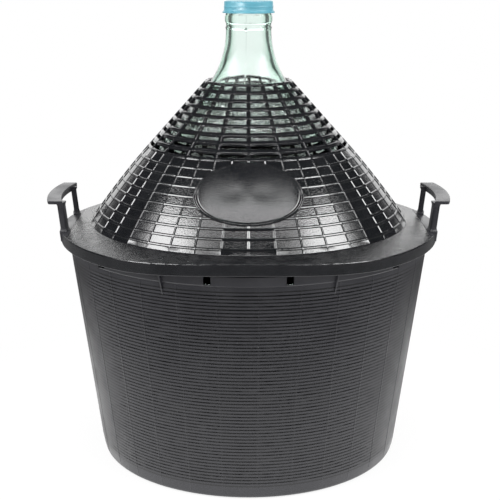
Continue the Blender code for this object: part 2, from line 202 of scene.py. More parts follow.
# %% Cover sizes and the cone
collar_radius = 0.0490
collar_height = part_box("cover")[1].z
cone_foot_radius = 0.18805
cone_foot_height = 0.280
cone_bend = math.radians(2.03)
straight_share = 0.4437
flange_radius = 0.2230
flange_fall = 0.0057
lip_bottom = 0.2618
fillet_radius = 0.004
edge_radius = 0.0015
inner_edge_radius = 0.0003
lip_edge_radius = 0.0007
arch_rise = 0.007
arch_half_angle = math.radians(42.0)


def heading(angle):
    """The direction (outward, down) of a slope that falls at this angle below level."""
    return np.stack((np.cos(angle), -np.sin(angle)), -1)


def facing(angle):
    """The outward normal of that slope."""
    return np.stack((np.sin(angle), np.cos(angle)), -1)


collar = np.array((collar_radius, collar_height))
cone_foot = np.array((cone_foot_radius, cone_foot_height))
chord = cone_foot - collar
cone_slope = math.atan2(-chord[1], chord[0]) - cone_bend
straight_length = straight_share * math.hypot(*chord)
straight_end = collar + straight_length * heading(cone_slope)
lower_chord = cone_foot - straight_end
lower_reach = math.hypot(*lower_chord)
bend = math.atan2(-lower_chord[1], lower_chord[0]) - cone_slope
cone_length = straight_length + lower_reach * bend / math.sin(bend)


def cone(distance):
    """Places (radius, height) and slopes this far down the cone: a straight run, then an arc whose chord
    from its start turns by the bend and whose tangent turns by twice as much."""
    distance = np.asarray(distance, float)
    straight = collar + np.minimum(distance, straight_length)[..., None] * heading(cone_slope)
    share = np.clip((distance - straight_length) / (cone_length - straight_length), 0.0, 1.0)
    reach = lower_reach * np.sin(bend * share) / math.sin(bend)
    bent = reach[..., None] * heading(cone_slope + bend * share)
    return straight + bent, cone_slope + 2 * bend * share


flange_slope = math.atan2(flange_fall, flange_radius - cone_foot_radius)


def flange_height(radius):
    """Height of the flange's top, which falls evenly from the cone's foot to the lip."""
    return cone_foot_height - flange_fall * (radius - cone_foot_radius) / (flange_radius - cone_foot_radius)


def arch(azimuth):
    """How far the lip rises over the front and back latch: half a cosine wave inside the arch's half
    angle."""
    away = np.abs(from_nearest(azimuth, turn / 2))
    share = np.minimum(away / arch_half_angle, 1.0)
    return arch_rise * (0.5 + 0.5 * np.cos(math.pi * share))


print(f"cone: {cone_length * 1000:.1f} mm long, {math.degrees(cone_slope):.1f} degrees at the collar")

# %% [markdown]
# ## Rows of the cover
# Down the slope come ten flat rings with nine rows of windows between them, then nine round beads on solid
# wall. Each ring and bead gets only the rows that its cross-section needs, so the mesh stays light where it
# is plain.

# %% Cover rows
window_rows = 9
slot_rows = 3
ring_pitch = 0.0113
collar_ring = 0.0035
window_length = 0.0066
slot_length = 0.0046
ring_width = ring_pitch - window_length
bar_shares = np.array((0.25, 0.5, 0.75))
bead_offsets = np.array((-0.0019, -0.0013, -0.0006, 0.0007, 0.0012, 0.0016))
bead_relief = np.array((0.0, 0.00030, 0.00056, 0.00042, 0.00020, 0.0))
ring_relief = np.array((0.0, 0.00036, 0.00050, 0.00050, 0.00043, 0.0))
window_edge_relief = -0.0003
window_draft = 0.0007
swell_flatness = 0.7
bead_room = 0.0052
bead_count = 9
first_bead = 0.1155
last_bead = 0.2092

window_number = np.arange(window_rows)
is_slot = window_number >= window_rows - slot_rows
lengths = np.where(is_slot, slot_length, window_length)
window_start = collar_ring + window_number * ring_pitch + (window_length - lengths) / 2
window_end = window_start + lengths
ring_start = np.concatenate(([0.0], window_end))
ring_end = np.concatenate((window_start, [window_end[-1] + ring_width]))
rows = []


def add_rows(places, relief, swell=0.0, is_open=False):
    """Adds rows: distance down the slope, relief, how much the bars swell, and if a window is open below
    the row."""
    rows.append(np.stack(np.broadcast_arrays(places, relief, swell, is_open), 1))


for number, (start, end) in enumerate(zip(ring_start, ring_end)):
    bead = (start + end) / 2 + bead_offsets * min(1.0, (end - start) / bead_room)
    is_last = np.arange(len(bead) + 2) > len(bead)
    ring_heights = (window_edge_relief, *ring_relief, window_edge_relief)
    add_rows((start, *bead, end), ring_heights, is_open=is_last & (number < window_rows))
    if number < window_rows:
        swell = ~is_slot[number] * np.sin(math.pi * bar_shares) ** swell_flatness
        add_rows(window_start[number] + lengths[number] * bar_shares, window_edge_relief, swell, True)
for middle in np.linspace(first_bead, last_bead, bead_count):
    add_rows(middle + bead_offsets, bead_relief)
fillet_turn = float(cone(cone_length)[1]) - flange_slope
add_rows([cone_length - fillet_radius * math.tan(fillet_turn / 2)], 0.0)
distances, row_relief, swell, is_window = np.vstack(rows).T
is_window = is_window > 0
print(f"cover: {len(distances)} rows on the cone, {is_window.sum()} of them open windows")

# %% [markdown]
# ## Columns of the cover
# Twenty bars stand between the windows, and forty thin ribs run down the solid wall: every second rib goes
# on up the middle of a bar. So one pitch holds one bar, a window and the rib that starts below the window.
# Bar and rib widths are lengths, so their angles shrink as the cone gets wider.

# %% Cover columns
bar_count = 20
bar_half = 0.0017
bar_bulge = 0.0008
slot_bar_half = 0.0028
slot_margin = 0.001
rib_foot = 0.0014
rib_top = 0.0002
rib_relief = 0.0006
bar_edge_relief = -0.0003
pitch = turn / bar_count

place, slope = cone(distances)
radius = place[:, 0]
beside_slot = (distances > window_start[-slot_rows] - slot_margin) & (distances < ring_end[-1])
bar_width = np.where(beside_slot, slot_bar_half, bar_half + bar_bulge * swell)
foot_angle, top_angle, bar_angle = rib_foot / radius, rib_top / radius, bar_width / radius
gap = pitch / 2 - foot_angle - bar_angle
half_pitch = np.full_like(radius, pitch / 2)
local = np.stack((
    -bar_angle, -foot_angle, -top_angle, top_angle, foot_angle, bar_angle, bar_angle + gap / 2,
    half_pitch - foot_angle, half_pitch - top_angle, half_pitch + top_angle, half_pitch + foot_angle,
    half_pitch + foot_angle + gap / 2,
), 1)
per_pitch = local.shape[1]
columns = per_pitch * bar_count
azimuth = (local[:, None, :] + pitch * np.arange(bar_count)[None, :, None]).reshape(len(distances), columns)
kind = np.tile(np.arange(per_pitch), bar_count)
on_bar_rib = np.isin(kind, (2, 3))
on_low_rib = np.isin(kind, (8, 9))
on_bar_edge = np.isin(kind, (0, 5))
in_solid = (distances > ring_end[-1] - ring_width / 2)[:, None]
rib = rib_relief * (on_bar_rib | (on_low_rib & in_solid))
in_open = is_window | np.roll(is_window, 1)
relief = np.where(in_open[:, None], bar_edge_relief * on_bar_edge, row_relief[:, None])
relief = np.where(is_window[:, None] & ~on_bar_edge, 0.0, relief)
relief = np.maximum(relief, np.where(rib > 0, rib, relief))
relief[-1] = 0.0
print(f"cover: {columns} columns, {per_pitch} for each bar; relief up to {relief.max() * 1000:.2f} mm")

# %% [markdown]
# ## Flange, lip and handle notches
# Below the cone the same columns run on over the flange. At each side a straight notch lets a handle
# through. There the flange's rows are squeezed inwards to the notch, and the lip's faces are left out. One
# column at each corner slides along the notch's end, so the corner is exact and the mesh stays one sheet.

# %% Flange and lip rows
slot_distance = 0.20655
slot_half_width = 0.071
corner_radius = math.hypot(slot_distance, slot_half_width)
corner_azimuth = math.atan2(slot_distance, slot_half_width)
flange_shares = np.array((0.2, 0.4, 0.6, 0.8, 1.0))
arc_rows = 6

fillet_start = place[-1] + fillet_radius * facing(slope[-1])
fillet_angles = np.linspace(slope[-1], flange_slope, arc_rows)[1:]
fillet = fillet_start - fillet_radius * facing(fillet_angles)
fillet_inner = fillet_start - (fillet_radius + cover_wall) * facing(fillet_angles)

corner_turn = np.array((0.0, turn / 2, turn / 2, turn))
corner_sign = np.array((1.0, -1.0, 1.0, -1.0))
corners = corner_turn + corner_sign * corner_azimuth
foot_azimuth = azimuth[-1].copy()
corner_columns = np.abs(foot_azimuth[None, :] - corners[:, None]).argmin(1)
straight_azimuth = foot_azimuth.copy()
straight_azimuth[corner_columns] = corners
notch_radius = np.minimum(corner_radius, slot_distance / np.maximum(np.abs(np.sin(straight_azimuth)), 0.5))
flange_radii = fillet[-1, 0] + (notch_radius - fillet[-1, 0]) * flange_shares[:, None]

edge_centre_radius = flange_radius - edge_radius
edge_start = edge_centre_radius + edge_radius * math.sin(flange_slope)
edge_centre = np.array((edge_centre_radius, flange_height(edge_start) - edge_radius * math.cos(flange_slope)))
edge_angles = np.linspace(flange_slope, math.pi / 2, arc_rows)
edge = edge_centre + edge_radius * facing(edge_angles)
inner_centre_radius = flange_radius - cover_wall - inner_edge_radius
inner_start = inner_centre_radius + inner_edge_radius * math.sin(flange_slope)
inner_centre_height = flange_height(inner_start) - (cover_wall + inner_edge_radius) / math.cos(flange_slope)
edge_inner = np.array((inner_centre_radius, inner_centre_height)) + inner_edge_radius * facing(edge_angles)


def lip_rows(radius, side):
    """The lip's wall at this radius and the rounding at its foot. The side is 1 outside and -1 inside."""
    centre = np.array((radius - side * lip_edge_radius, lip_bottom + lip_edge_radius))
    heights = np.linspace(edge[-1, 1], centre[1], 5)[1:-1]
    angles = side * np.linspace(math.pi / 2, math.radians(165.0), 4)
    return np.vstack((np.stack((np.full(3, radius), heights), 1), centre + lip_edge_radius * facing(angles)))


lip, lip_inner = lip_rows(flange_radius, 1), lip_rows(flange_radius - cover_wall, -1)
print(f"flange: corners at {np.degrees(corners).round(1)} degrees, columns {corner_columns.tolist()}")

# %% [markdown]
# ## The cover as one closed sheet
# The two skins are filled in row by row and joined along every open edge, so each window gets its four
# reveals.

# %% Build the cover
def skin_rows(*parts):
    """Radius and height of each row and column of one skin. A part that is the same all round is
    repeated."""
    return np.concatenate([part if part.ndim == 3 else part[:, :, None].repeat(columns, 2) for part in parts])


starts_window = is_window & ~np.roll(is_window, 1)
ends_window = ~is_window & np.roll(is_window, 1)
inner_place, inner_slope = cone(distances + window_draft * (ends_window * 1.0 - starts_window))
outer_cone = place[:, :, None] + facing(slope)[:, :, None] * relief[:, None, :]
inner_cone = inner_place - cover_wall * facing(inner_slope)
flange_outer = np.stack((flange_radii, flange_height(flange_radii)), 1)
flange_inner = flange_outer - cover_wall * facing(flange_slope)[None, :, None]
outer = skin_rows(outer_cone, fillet, flange_outer, edge, lip)
inner = skin_rows(inner_cone, fillet_inner, flange_inner, edge_inner, lip_inner)
outline_rows = len(outer)

flange_first = len(distances) + len(fillet)
notch_row = flange_first + len(flange_radii) - 1
all_azimuth = np.vstack((azimuth, np.tile(straight_azimuth, (outline_rows - len(distances), 1))))
ease = np.linspace(0.0, 1.0, len(fillet) + 2)[1:-1, None]
all_azimuth[len(distances) : flange_first] = foot_azimuth * (1 - ease) + straight_azimuth * ease
beyond = outer[notch_row + 1 :, 0, corner_columns]
slide = np.arccos(slot_half_width / np.maximum(beyond, corner_radius))
all_azimuth[notch_row + 1 :, corner_columns] = corner_turn + corner_sign * slide

arch_share = np.clip((outer[:, 0] - cone_foot_radius) / (flange_radius - cone_foot_radius), 0.0, 1.0)
lift = arch(all_azimuth) * arch_share
lift[: len(distances)] = 0.0
skins = [placed(skin[:, 0], skin[:, 1] + lift, all_azimuth).reshape(-1, 3) for skin in (outer, inner)]

faces = grid_faces(outline_rows, columns)
open_row = np.zeros(outline_rows - 1, bool)
open_row[: len(distances) - 1] = is_window[:-1]
between_bars = kind >= 5
keep = ~(open_row[:, None] & between_bars[None, :])
middle = (straight_azimuth + np.roll(straight_azimuth, -1)) / 2
in_notch = np.abs(np.sin(middle)) > math.sin(corner_azimuth)
in_notch[-1] = False
keep[notch_row:] &= ~in_notch[None, :]
cover_points, cover_faces = with_thickness(*skins, faces[keep])
cover = make_piece("cover_shell", cover_points, cover_faces, crease=rib_crease)

# %% [markdown]
# ## The oval label plate
# A moulded oval pad with a double rim sits on the front of the cone. It is a disc of rings, laid on the
# cone by its distance down the slope and its angle across. A height for each ring draws the face, the two
# thin rims and the edge that sinks into the wall.

# %% Label plate
plate_width = 0.1225
plate_length = 0.078
plate_distance = 0.143
plate_sides = 160
rim_shares = np.array((0.0, 0.3, 0.6, 0.8, 0.889, 0.893, 0.901, 0.909, 0.917, 0.925, 0.933, 0.941, 0.951,
                       0.961, 0.971, 0.982, 0.992, 1.0))
rim_heights = np.array((8, 8, 8, 8, 8, 8, 6.5, 6.5, 9.5, 11.5, 9.5, 6.5, 6.5, 10, 12, 10, 5, -6)) * 0.0001
side_angle = turn * np.arange(plate_sides) / plate_sides
across = plate_width / 2 * rim_shares[1:, None] * np.cos(side_angle)
down = plate_distance + plate_length / 2 * rim_shares[1:, None] * np.sin(side_angle)
plate_place, plate_slope = cone(down)
middle_place, middle_slope = cone(plate_distance)
top = plate_place + facing(plate_slope) * rim_heights[1:, None, None]
disc = placed(top[..., 0], top[..., 1], across / middle_place[0]).reshape(-1, 3)
poles = middle_place + np.outer(rim_heights[[0, -1]], facing(middle_slope))
plate_points = np.vstack((disc, placed(poles[:, 0], poles[:, 1], 0.0)))
plate_size = len(rim_shares) - 1, plate_sides
blocks = grid_faces(*plate_size).reshape(-1, 4), *fans(*plate_size)
plate = make_piece("label_plate", plate_points, *(block[:, ::-1] for block in blocks), crease=rim_crease)

# %% [markdown]
# ## The basket
# The tub is one turned wall with fine ribs round it, thirty faint upright lines left by its mould, and a
# band below the rim. Between the slots of each latch the band is raised into a springy tongue. The slots go
# through the wall, so the same rows and columns are used inside and outside, and joined there.

# %% Basket columns and rows
line_pitch = turn / 30
line_offset = math.radians(3.0)
line_hold, line_foot, line_top = math.radians(0.5), math.radians(0.26), math.radians(0.09)
latch_count = 6
tongue_half = 0.039
latch_slot_width = 0.008
tongue_side = 0.0003
tongue_proud = 0.0018
slot_low, slot_middle, slot_top = 0.2560, 0.2605, 0.2650
tongue_low, tongue_top = 0.2555, 0.2658
tongue_bevel = 0.0004
rib_count = 60
ribs_low, ribs_high = 0.014, 0.250
basket_rib = 0.0006
line_relief = 0.00026
rim_rounding = 0.0006
groove_half = 0.2
plain_foot = 0.009
just_over = 1e-6

band_radius = basket_radius(slot_low) + band_step
tongue_edge = math.asin(tongue_half / band_radius)
tongue_inside = math.asin((tongue_half - tongue_side) / band_radius)
slot_edge = math.asin((tongue_half + latch_slot_width) / band_radius)
plain_steps = np.linspace(line_hold, line_pitch - line_hold, 5)[1:-1]
in_pitch = np.concatenate(((-line_hold, -line_foot, -line_top, line_top, line_foot, line_hold), plain_steps))
base_columns = (line_offset + line_pitch * np.arange(30)[:, None] + in_pitch).ravel()
latch_turns = turn / latch_count * np.arange(latch_count)[:, None]
latch_columns = (latch_turns + np.array((tongue_inside, tongue_edge, slot_edge))).ravel()
latch_mirrors = (latch_turns - np.array((tongue_inside, tongue_edge, slot_edge))).ravel()
tub_azimuths = np.sort(np.concatenate((base_columns, latch_columns, latch_mirrors)) % turn)

floor_centre = (base_radius - basket_wall - base_rounding, basket_floor + base_rounding)
inner_floor = arc(floor_centre, base_rounding, -90, 0, 5)
inner_heights = np.concatenate((np.linspace(0.02, 0.245, 10), (slot_low, slot_middle, slot_top)))
inner_wall = np.stack((basket_radius(inner_heights) - basket_wall, inner_heights), 1)
rim_radius = basket_radius(rim_height) + band_step
rim_middle = rim_radius - (basket_wall + band_step) / 2
rim_half = (basket_wall + band_step) / 2 - rim_rounding
rim = np.vstack((
    arc((rim_middle - rim_half, rim_height - rim_rounding), rim_rounding, 180, 90, 4),
    arc((rim_middle + rim_half, rim_height - rim_rounding), rim_rounding, 90, 0, 4),
))
band_heights = np.array((tongue_top + tongue_bevel, tongue_top, slot_top, slot_middle, slot_low, tongue_low))
band = np.stack((basket_radius(band_heights) + band_step, band_heights), 1)
step = np.array((
    (basket_radius(band_foot_height) + band_step, band_foot_height + band_step),
    (basket_radius(band_foot_height), band_foot_height),
))
rib_phase = (np.arange(rib_count, 0, -1)[:, None] + (-groove_half, 0.0, groove_half)).ravel()
rib_heights = ribs_low + (ribs_high - ribs_low) * (rib_phase - 0.5) / rib_count
groove = np.tile((0.5, -0.6, 0.5), rib_count) * basket_rib
ribbed = np.stack((basket_radius(rib_heights) + groove, rib_heights), 1)
foot = arc((base_radius - base_rounding, base_rounding), base_rounding, 0, -90, 6)
tub_profile = np.vstack((
    (0.0, basket_floor), (0.06, basket_floor), (0.12, basket_floor), inner_floor, inner_wall, rim, band, step,
    ribbed, (basket_radius(plain_foot), plain_foot), foot, (0.12, 0.0), (0.06, 0.0), (0.0, 0.0),
))
print(f"basket: {len(tub_profile)} rows, {len(tub_azimuths)} columns")

# %% [markdown]
# ## Relief on the basket
# The tongues are raised rows and columns of the band. The upright lines are ridges only a quarter of a
# millimetre high, yet they show, because each one breaks the highlight of all sixty ribs.

# %% Build the basket
ring_rows = tub_profile[1:-1]
inner_count = 2 + len(inner_floor)
slot_rows_in = inner_count + len(inner_wall) - 3 + np.arange(3)
band_first = inner_count + len(inner_wall) + len(rim)
slot_rows_out = band_first + np.array((4, 3, 2))
from_latch = from_nearest(tub_azimuths, turn / latch_count)
from_line = from_nearest(tub_azimuths - line_offset, line_pitch)
is_tongue = np.abs(from_latch) < tongue_inside + just_over
tub_relief = np.zeros((len(ring_rows), len(tub_azimuths)))
tub_relief[band_first + 1 : band_first + 6] += tongue_proud * is_tongue
line_rows = slice(band_first + len(band) + 1, band_first + len(band) + len(step) + len(ribbed) + 1)
tub_relief[line_rows] += line_relief * (np.abs(from_line) < line_top + just_over)
tub_points, tub_sides, tub_fans = turned_grid(tub_profile, tub_azimuths, tub_relief)
between = np.abs(from_latch + np.roll(from_latch, -1)) / 2
in_slot = (between > tongue_edge) & (between < slot_edge)
keep = np.ones(tub_sides.shape[:2], bool)
for first_row in (slot_rows_in[0], slot_rows_out[2]):
    keep[first_row : first_row + 2] &= ~in_slot
tub_faces = tub_sides[keep]
edges = open_edges(tub_faces)
width = len(tub_azimuths)
row_of, column_of = np.divmod(edges, width)
outside = np.isin(row_of, slot_rows_out).all(1)
partner = np.zeros(len(ring_rows), int)
partner[slot_rows_out] = slot_rows_in
start, end = edges[outside, 0], edges[outside, 1]
back = partner[row_of[outside]] * width + column_of[outside]
reveals = np.stack((end, start, back[:, 0], back[:, 1]), 1)
tub = make_piece("basket_tub", tub_points, tub_faces, reveals, *tub_fans)
print(f"basket: {len(reveals)} faces line the latch slots")

# %% [markdown]
# ## Handles
# Each handle is a root that fills the cover's notch, two leaning legs and a curved grip with an L-shaped
# section. Root, legs and grip are the same kind of shape: a closed section carried along a path, with
# capped ends. The sections nearest to each end are drawn in a little, which rounds it.

# %% Handle sizes
leg_spread = 0.048
leg_thickness = 0.0065
leg_width = 0.012
leg_foot_distance = 0.21205
leg_lean = 0.005
leg_foot_flare, leg_top_flare = 0.42, 0.3
leg_turn = math.radians(10.0)
leg_foot = 0.2644
grip_top = 0.3125
grip_inner, grip_outer = 0.2211, 0.23755
grip_thickness = 0.0036
grip_web = 0.004
grip_depth = 0.008
grip_half = 0.058
root_gap = 0.0004

# %% [markdown]
# ## Carrying an outline along a path
# A tube is a row of sections with the same number of points. The helpers round the corners of an outline,
# join its sections with quads, and draw the last sections in towards their middles.

# %% Sweep helpers
def swept_faces(stations, count):
    """Quads along a tube of closed sections, and the section's outline as a cap at each end."""
    sides = grid_faces(stations, count).reshape(-1, 4)
    return sides, [np.arange(count)[None, :], (stations - 1) * count + np.arange(count)[::-1][None, :]]


def rounded(corners, radii, count=5):
    """A closed outline through these corners, each one replaced by an arc that meets both its sides."""
    corners = np.asarray(corners, float)
    before = np.roll(corners, 1, axis=0) - corners
    after = np.roll(corners, -1, axis=0) - corners
    before /= np.linalg.norm(before, axis=1)[:, None]
    after /= np.linalg.norm(after, axis=1)[:, None]
    half = np.arccos(np.clip((before * after).sum(1), -1, 1)) / 2
    middle = before + after
    middle /= np.linalg.norm(middle, axis=1)[:, None]
    centre = corners + middle * (radii / np.sin(half))[:, None]
    share = np.linspace(-1.0, 1.0, count)
    swing = (math.pi / 2 - half)[:, None] * share
    across = after - before
    across /= np.linalg.norm(across, axis=1)[:, None]
    spoke = -middle[:, None, :] * np.cos(swing)[..., None] + across[:, None, :] * np.sin(swing)[..., None]
    return (centre[:, None, :] + np.asarray(radii)[:, None, None] * spoke).reshape(-1, 2)


def drawn_in(sections, *amounts):
    """Sections scaled towards their own middles: the first and last by one minus the first amount, the next
    ones by one minus the second."""
    scale = np.ones(len(sections))
    for step, amount in enumerate(amounts):
        scale[[step, -1 - step]] -= amount
    middle = sections.mean(1, keepdims=True)
    return middle + (sections - middle) * scale[:, None, None]


def with_ends(places, half):
    """Places along Y, with three close ones put before and after them for the rounded ends."""
    ends = half - np.array((0.0, 0.0003, 0.001))
    return np.concatenate((-ends, places, ends[::-1]))

# %% [markdown]
# ## Grip, legs and root
# The grip keeps to its own circle round the axis. Each leg is a plain rounded bar that widens where it
# meets the root and the grip, because a sharp inner corner is where a loaded handle would crack.

# %% Grip, leg and root
def grip(side):
    """The grip: an L-shaped outline (radius, height) carried along Y, kept on its own circle round the
    axis."""
    web, web_foot, under = grip_inner + grip_web, grip_top - grip_depth, grip_top - grip_thickness
    corners = ((grip_inner, grip_top), (grip_inner, web_foot), (web, web_foot),
               (web, under), (grip_outer, under), (grip_outer, grip_top))
    outline = rounded(corners, np.array((0.0009, 0.0012, 0.0012, 0.0012, 0.0012, 0.0012)))
    y = with_ends(np.linspace(-0.054, 0.054, 40), grip_half)
    x = np.sqrt(outline[None, :, 0] ** 2 - y[:, None] ** 2)
    sections = np.stack(np.broadcast_arrays(x, y[:, None], outline[None, :, 1]), -1)
    return drawn_in(sections, 0.09, 0.025) * (side, 1.0, 1.0)


def leg(side, end):
    """One leg: a rounded bar that leans outwards, with a flared foot and a flared top."""
    corners = np.array(((-1, -1), (1, -1), (1, 1), (-1, 1))) * (leg_thickness / 2, leg_width / 2)
    outline = rounded(corners, np.full(4, 0.0011))
    root_top = flange_height(leg_foot_distance)
    bands = ((0.0, 0.2, 2), (0.215, 0.34, 7), (0.45, 0.82, 4), (0.86, 0.985, 5))
    shares = np.concatenate([np.linspace(*band) for band in bands])
    z = leg_foot + (grip_top - grip_thickness / 2 - leg_foot) * shares
    above, below = z - root_top, grip_top - grip_thickness - z
    foot_flare = leg_foot_flare * np.clip(1 - above / 0.005, 0, 1) ** 2.2
    flare = foot_flare + leg_top_flare * np.clip(1 - below / 0.004, 0, 1) ** 2.2
    sine, cosine = math.sin(-side * end * leg_turn), math.cos(-side * end * leg_turn)
    wide = outline[None] * (1 + flare[:, None, None] * (1.0, 0.7))
    x = side * (leg_foot_distance + leg_lean * shares[:, None]) + wide[..., 0] * cosine - wide[..., 1] * sine
    y = end * leg_spread + wide[..., 0] * sine + wide[..., 1] * cosine
    return np.stack(np.broadcast_arrays(x, y, z[:, None]), -1)


def root(side):
    """The root: a section (outward, height) carried along Y. Its outer side follows the lip's circle and
    its top follows the flange, so it fills the cover's notch with a small gap."""
    half = slot_half_width - root_gap
    y = with_ends(np.linspace(-half + 0.001, half - 0.001, 48)[1:-1], half)
    outer = np.sqrt(flange_radius**2 - y**2)
    near = slot_distance + root_gap
    drop = np.array((0.0, 0.0001, 0.0006, 0.0015, 0.006))
    inset = np.array((0.0016, 0.0006, 0.0001, 0.0, 0.0))
    top_x = near + (outer[:, None] - inset[0] - near) * np.linspace(0.0, 1.0, 5)[None, :]
    top_z = flange_height(np.hypot(top_x, y[:, None]))
    edge_z = flange_height(np.hypot(outer - inset[0], y))[:, None] - drop[None, 1:]
    edge_x = outer[:, None] - inset[None, 1:]
    low_x = np.stack((outer, outer - 0.0007, np.full_like(y, near)), 1)
    low_z = np.stack((np.full_like(y, lip_bottom + 0.0007), *(np.full_like(y, lip_bottom),) * 2), 1)
    x, z = np.hstack((top_x, edge_x, low_x)), np.hstack((top_z, edge_z, low_z))
    sections = np.stack(np.broadcast_arrays(x, y[:, None], z), -1)
    return drawn_in(sections, 0.06, 0.015) * (side, 1.0, 1.0)

# %% [markdown]
# ## Both handles
# Each handle is one mesh of four tubes: a root, two legs and a grip. The two handles mirror each other, so
# a side of 1 or -1 is all that tells them apart.

# %% Build the handles
def make_swept(name, tubes):
    """Several swept tubes in one mesh. Each tube's winding is set so that its volume is positive."""
    points, quads, caps, base = [], [], [], 0
    for sections in tubes:
        stations, count = sections.shape[:2]
        sides, ends = swept_faces(stations, count)
        flat = sections.reshape(-1, 3)
        diagonal = np.cross(flat[sides[:, 2]] - flat[sides[:, 0]], flat[sides[:, 3]] - flat[sides[:, 1]])
        inside_out = (diagonal * flat[sides].mean(1)).sum() - (diagonal * flat.mean(0)).sum() < 0
        order = -1 if inside_out else 1
        points.append(flat)
        quads.append(sides[:, ::order] + base)
        caps += [end[:, ::order] + base for end in ends]
        base += len(flat)
    return make_piece(name, np.vstack(points), *quads, *caps)


handles = []
for name, side in (("right", 1.0), ("left", -1.0)):
    tubes = [root(side), leg(side, -1.0), leg(side, 1.0), grip(side)]
    handles.append(make_swept(f"handle_{name}", tubes))

# %% [markdown]
# ## Gussets
# Thin three-cornered ribs stiffen the wall under the rim. Each is an outline in a plane through the axis,
# with a small chamfer on both faces.

# %% Gussets
gusset_angles = np.radians((25.5, 86.0, 94.0, 154.5, 205.5, 266.0, 274.0, 334.5))
gusset_low, gusset_top = 0.240, 0.266
gusset_half = 0.0008
gusset_chamfer = 0.00025
gusset_root, gusset_toe, gusset_blunt = 0.0012, 0.0002, 0.0012
gusset_tip = flange_radius - cover_wall - gusset_blunt


def gusset(angle):
    """Four layers of one outline: the outer two are drawn in to make the chamfers."""
    outline = np.array((
        (basket_radius(gusset_low) - gusset_root, gusset_low),
        (basket_radius(gusset_low) + gusset_toe, gusset_low),
        (gusset_tip, gusset_top - gusset_blunt),
        (gusset_tip, gusset_top),
        (basket_radius(gusset_top) - gusset_root, gusset_top),
    ))
    inner_half = gusset_half - gusset_chamfer
    across = np.array((-gusset_half, -inner_half, inner_half, gusset_half))
    layers = drawn_in(np.stack([outline] * 4), 0.04)
    sine, cosine = math.sin(angle), math.cos(angle)
    x = layers[..., 0] * sine + across[:, None] * cosine
    y = -layers[..., 0] * cosine + across[:, None] * sine
    return np.stack((x, y, layers[..., 1]), -1)


gussets = make_swept("basket_gussets", [gusset(angle) for angle in gusset_angles])

# %% [markdown]
# ## The glass bottle
# The bottle was blown, so its walls are not quite even. A few long waves, different inside and out, bend
# what is seen through it. A mould left a thin seam down the neck, with a small raised pip where it meets
# the ring.

# %% Glass sizes
glass_wall = 0.004
glass_floor = 0.006
heel_radius = 0.038
side_radius = 0.420
side_clearance = 0.0025
belly_height = 0.190
glass_slope = math.degrees(cone_slope) + 3.0
flare_radius = 0.105
neck_radius = 0.0261
neck_wall = 0.0058
mouth_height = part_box("glass_bottle")[1].z
finish_radius = 0.0254
bead_top, bead_low = 0.5216, 0.5104
ring_high, ring_low = 0.5076, 0.5034
bead_proud = 0.0012
ring_proud = 0.0008
glass_base = basket_floor + 0.0003
glass_columns = 192
mouth_rounding, bore_rounding = 0.0012, 0.001

side_centre_radius = basket_radius(belly_height) - basket_wall
side_centre_radius -= (side_radius + side_clearance) * math.hypot(1.0, wall_taper)
side_centre = (side_centre_radius, belly_height)
belly_radius = side_centre_radius + side_radius
flare_centre = (neck_radius + flare_radius, ring_low)
sine, cosine = math.sin(math.radians(glass_slope)), math.cos(math.radians(glass_slope))
flare_end = (flare_centre[0] - flare_radius * sine, flare_centre[1] - flare_radius * cosine)
shoulder_radius = (flare_end[1] - belly_height) * cosine - (belly_radius - flare_end[0]) * sine
shoulder_radius /= 1.0 - sine
shoulder_centre = (belly_radius - shoulder_radius, belly_height)

# %% [markdown]
# ## The bottle's outline
# The bottle could be drawn by hand as a curve and turned. Here it is a chain of arcs that meet without a
# corner: flare, shoulder, side and heel. The inner outline is the same chain, moved in by the wall.

# %% Bottle outline
def heel_of(base, heel, side):
    """The heel's circle that meets the side's circle with no corner: its centre, and the angle of the
    meeting."""
    drop = belly_height - base - heel
    reach = math.sqrt((side - heel) ** 2 - drop**2)
    return (side_centre_radius + reach, base + heel), math.degrees(math.asin(drop / (side - heel)))


def moulded_bump(low, high, proud, flatness, count):
    """A raised band between two heights, shaped like a cosine wave of a power of the distance from its
    middle."""
    share = np.linspace(1.0, -1.0, count)
    heights = (low + high) / 2 + share * (high - low) / 2
    wave = 0.5 + 0.5 * np.cos(math.pi * np.abs(share) ** flatness)
    return np.stack((neck_radius + proud * wave, heights), 1)


def glass_side(inset, flare_inset, base):
    """The outline from the top of the neck's flare down to the end of the heel, this far inside the outer
    one."""
    heel_centre, meeting = heel_of(base, heel_radius - inset, side_radius - inset)
    return np.vstack((
        arc(flare_centre, flare_radius + flare_inset, 180, 270 - glass_slope, 44),
        arc(shoulder_centre, shoulder_radius - inset, 90 - glass_slope, 0, 44),
        arc(side_centre, side_radius - inset, 0, -meeting, 20)[1:],
        arc(heel_centre, heel_radius - inset, -meeting, -90, 12)[1:],
    ))


bore_radius, floor_top, flat_radius = neck_radius - neck_wall, glass_base + glass_floor, 0.06
outside = np.vstack((
    arc((finish_radius - mouth_rounding, mouth_height - mouth_rounding), mouth_rounding, 90, 0, 6),
    (finish_radius, bead_top + 0.0006),
    moulded_bump(bead_low, bead_top, bead_proud, 3, 17),
    moulded_bump(ring_low, ring_high, ring_proud, 1.3, 13),
    glass_side(0.0, 0.0, glass_base)[1:],
    (flat_radius, glass_base),
    (0.0, glass_base),
))
inside = np.vstack((
    (0.0, floor_top),
    (flat_radius, floor_top),
    glass_side(glass_wall, neck_wall, floor_top)[::-1],
    (bore_radius, ring_high),
    (bore_radius, bead_top),
    arc((bore_radius + bore_rounding, mouth_height - bore_rounding), bore_rounding, 180, 90, 5),
))
glass_profile = np.vstack((inside, outside))

# %% [markdown]
# ## Waves, seam and pip
# The waves die out towards the neck and towards the base, because both fit other pieces. Extra columns
# stand close together at the seam, which is narrower than the other columns are apart.

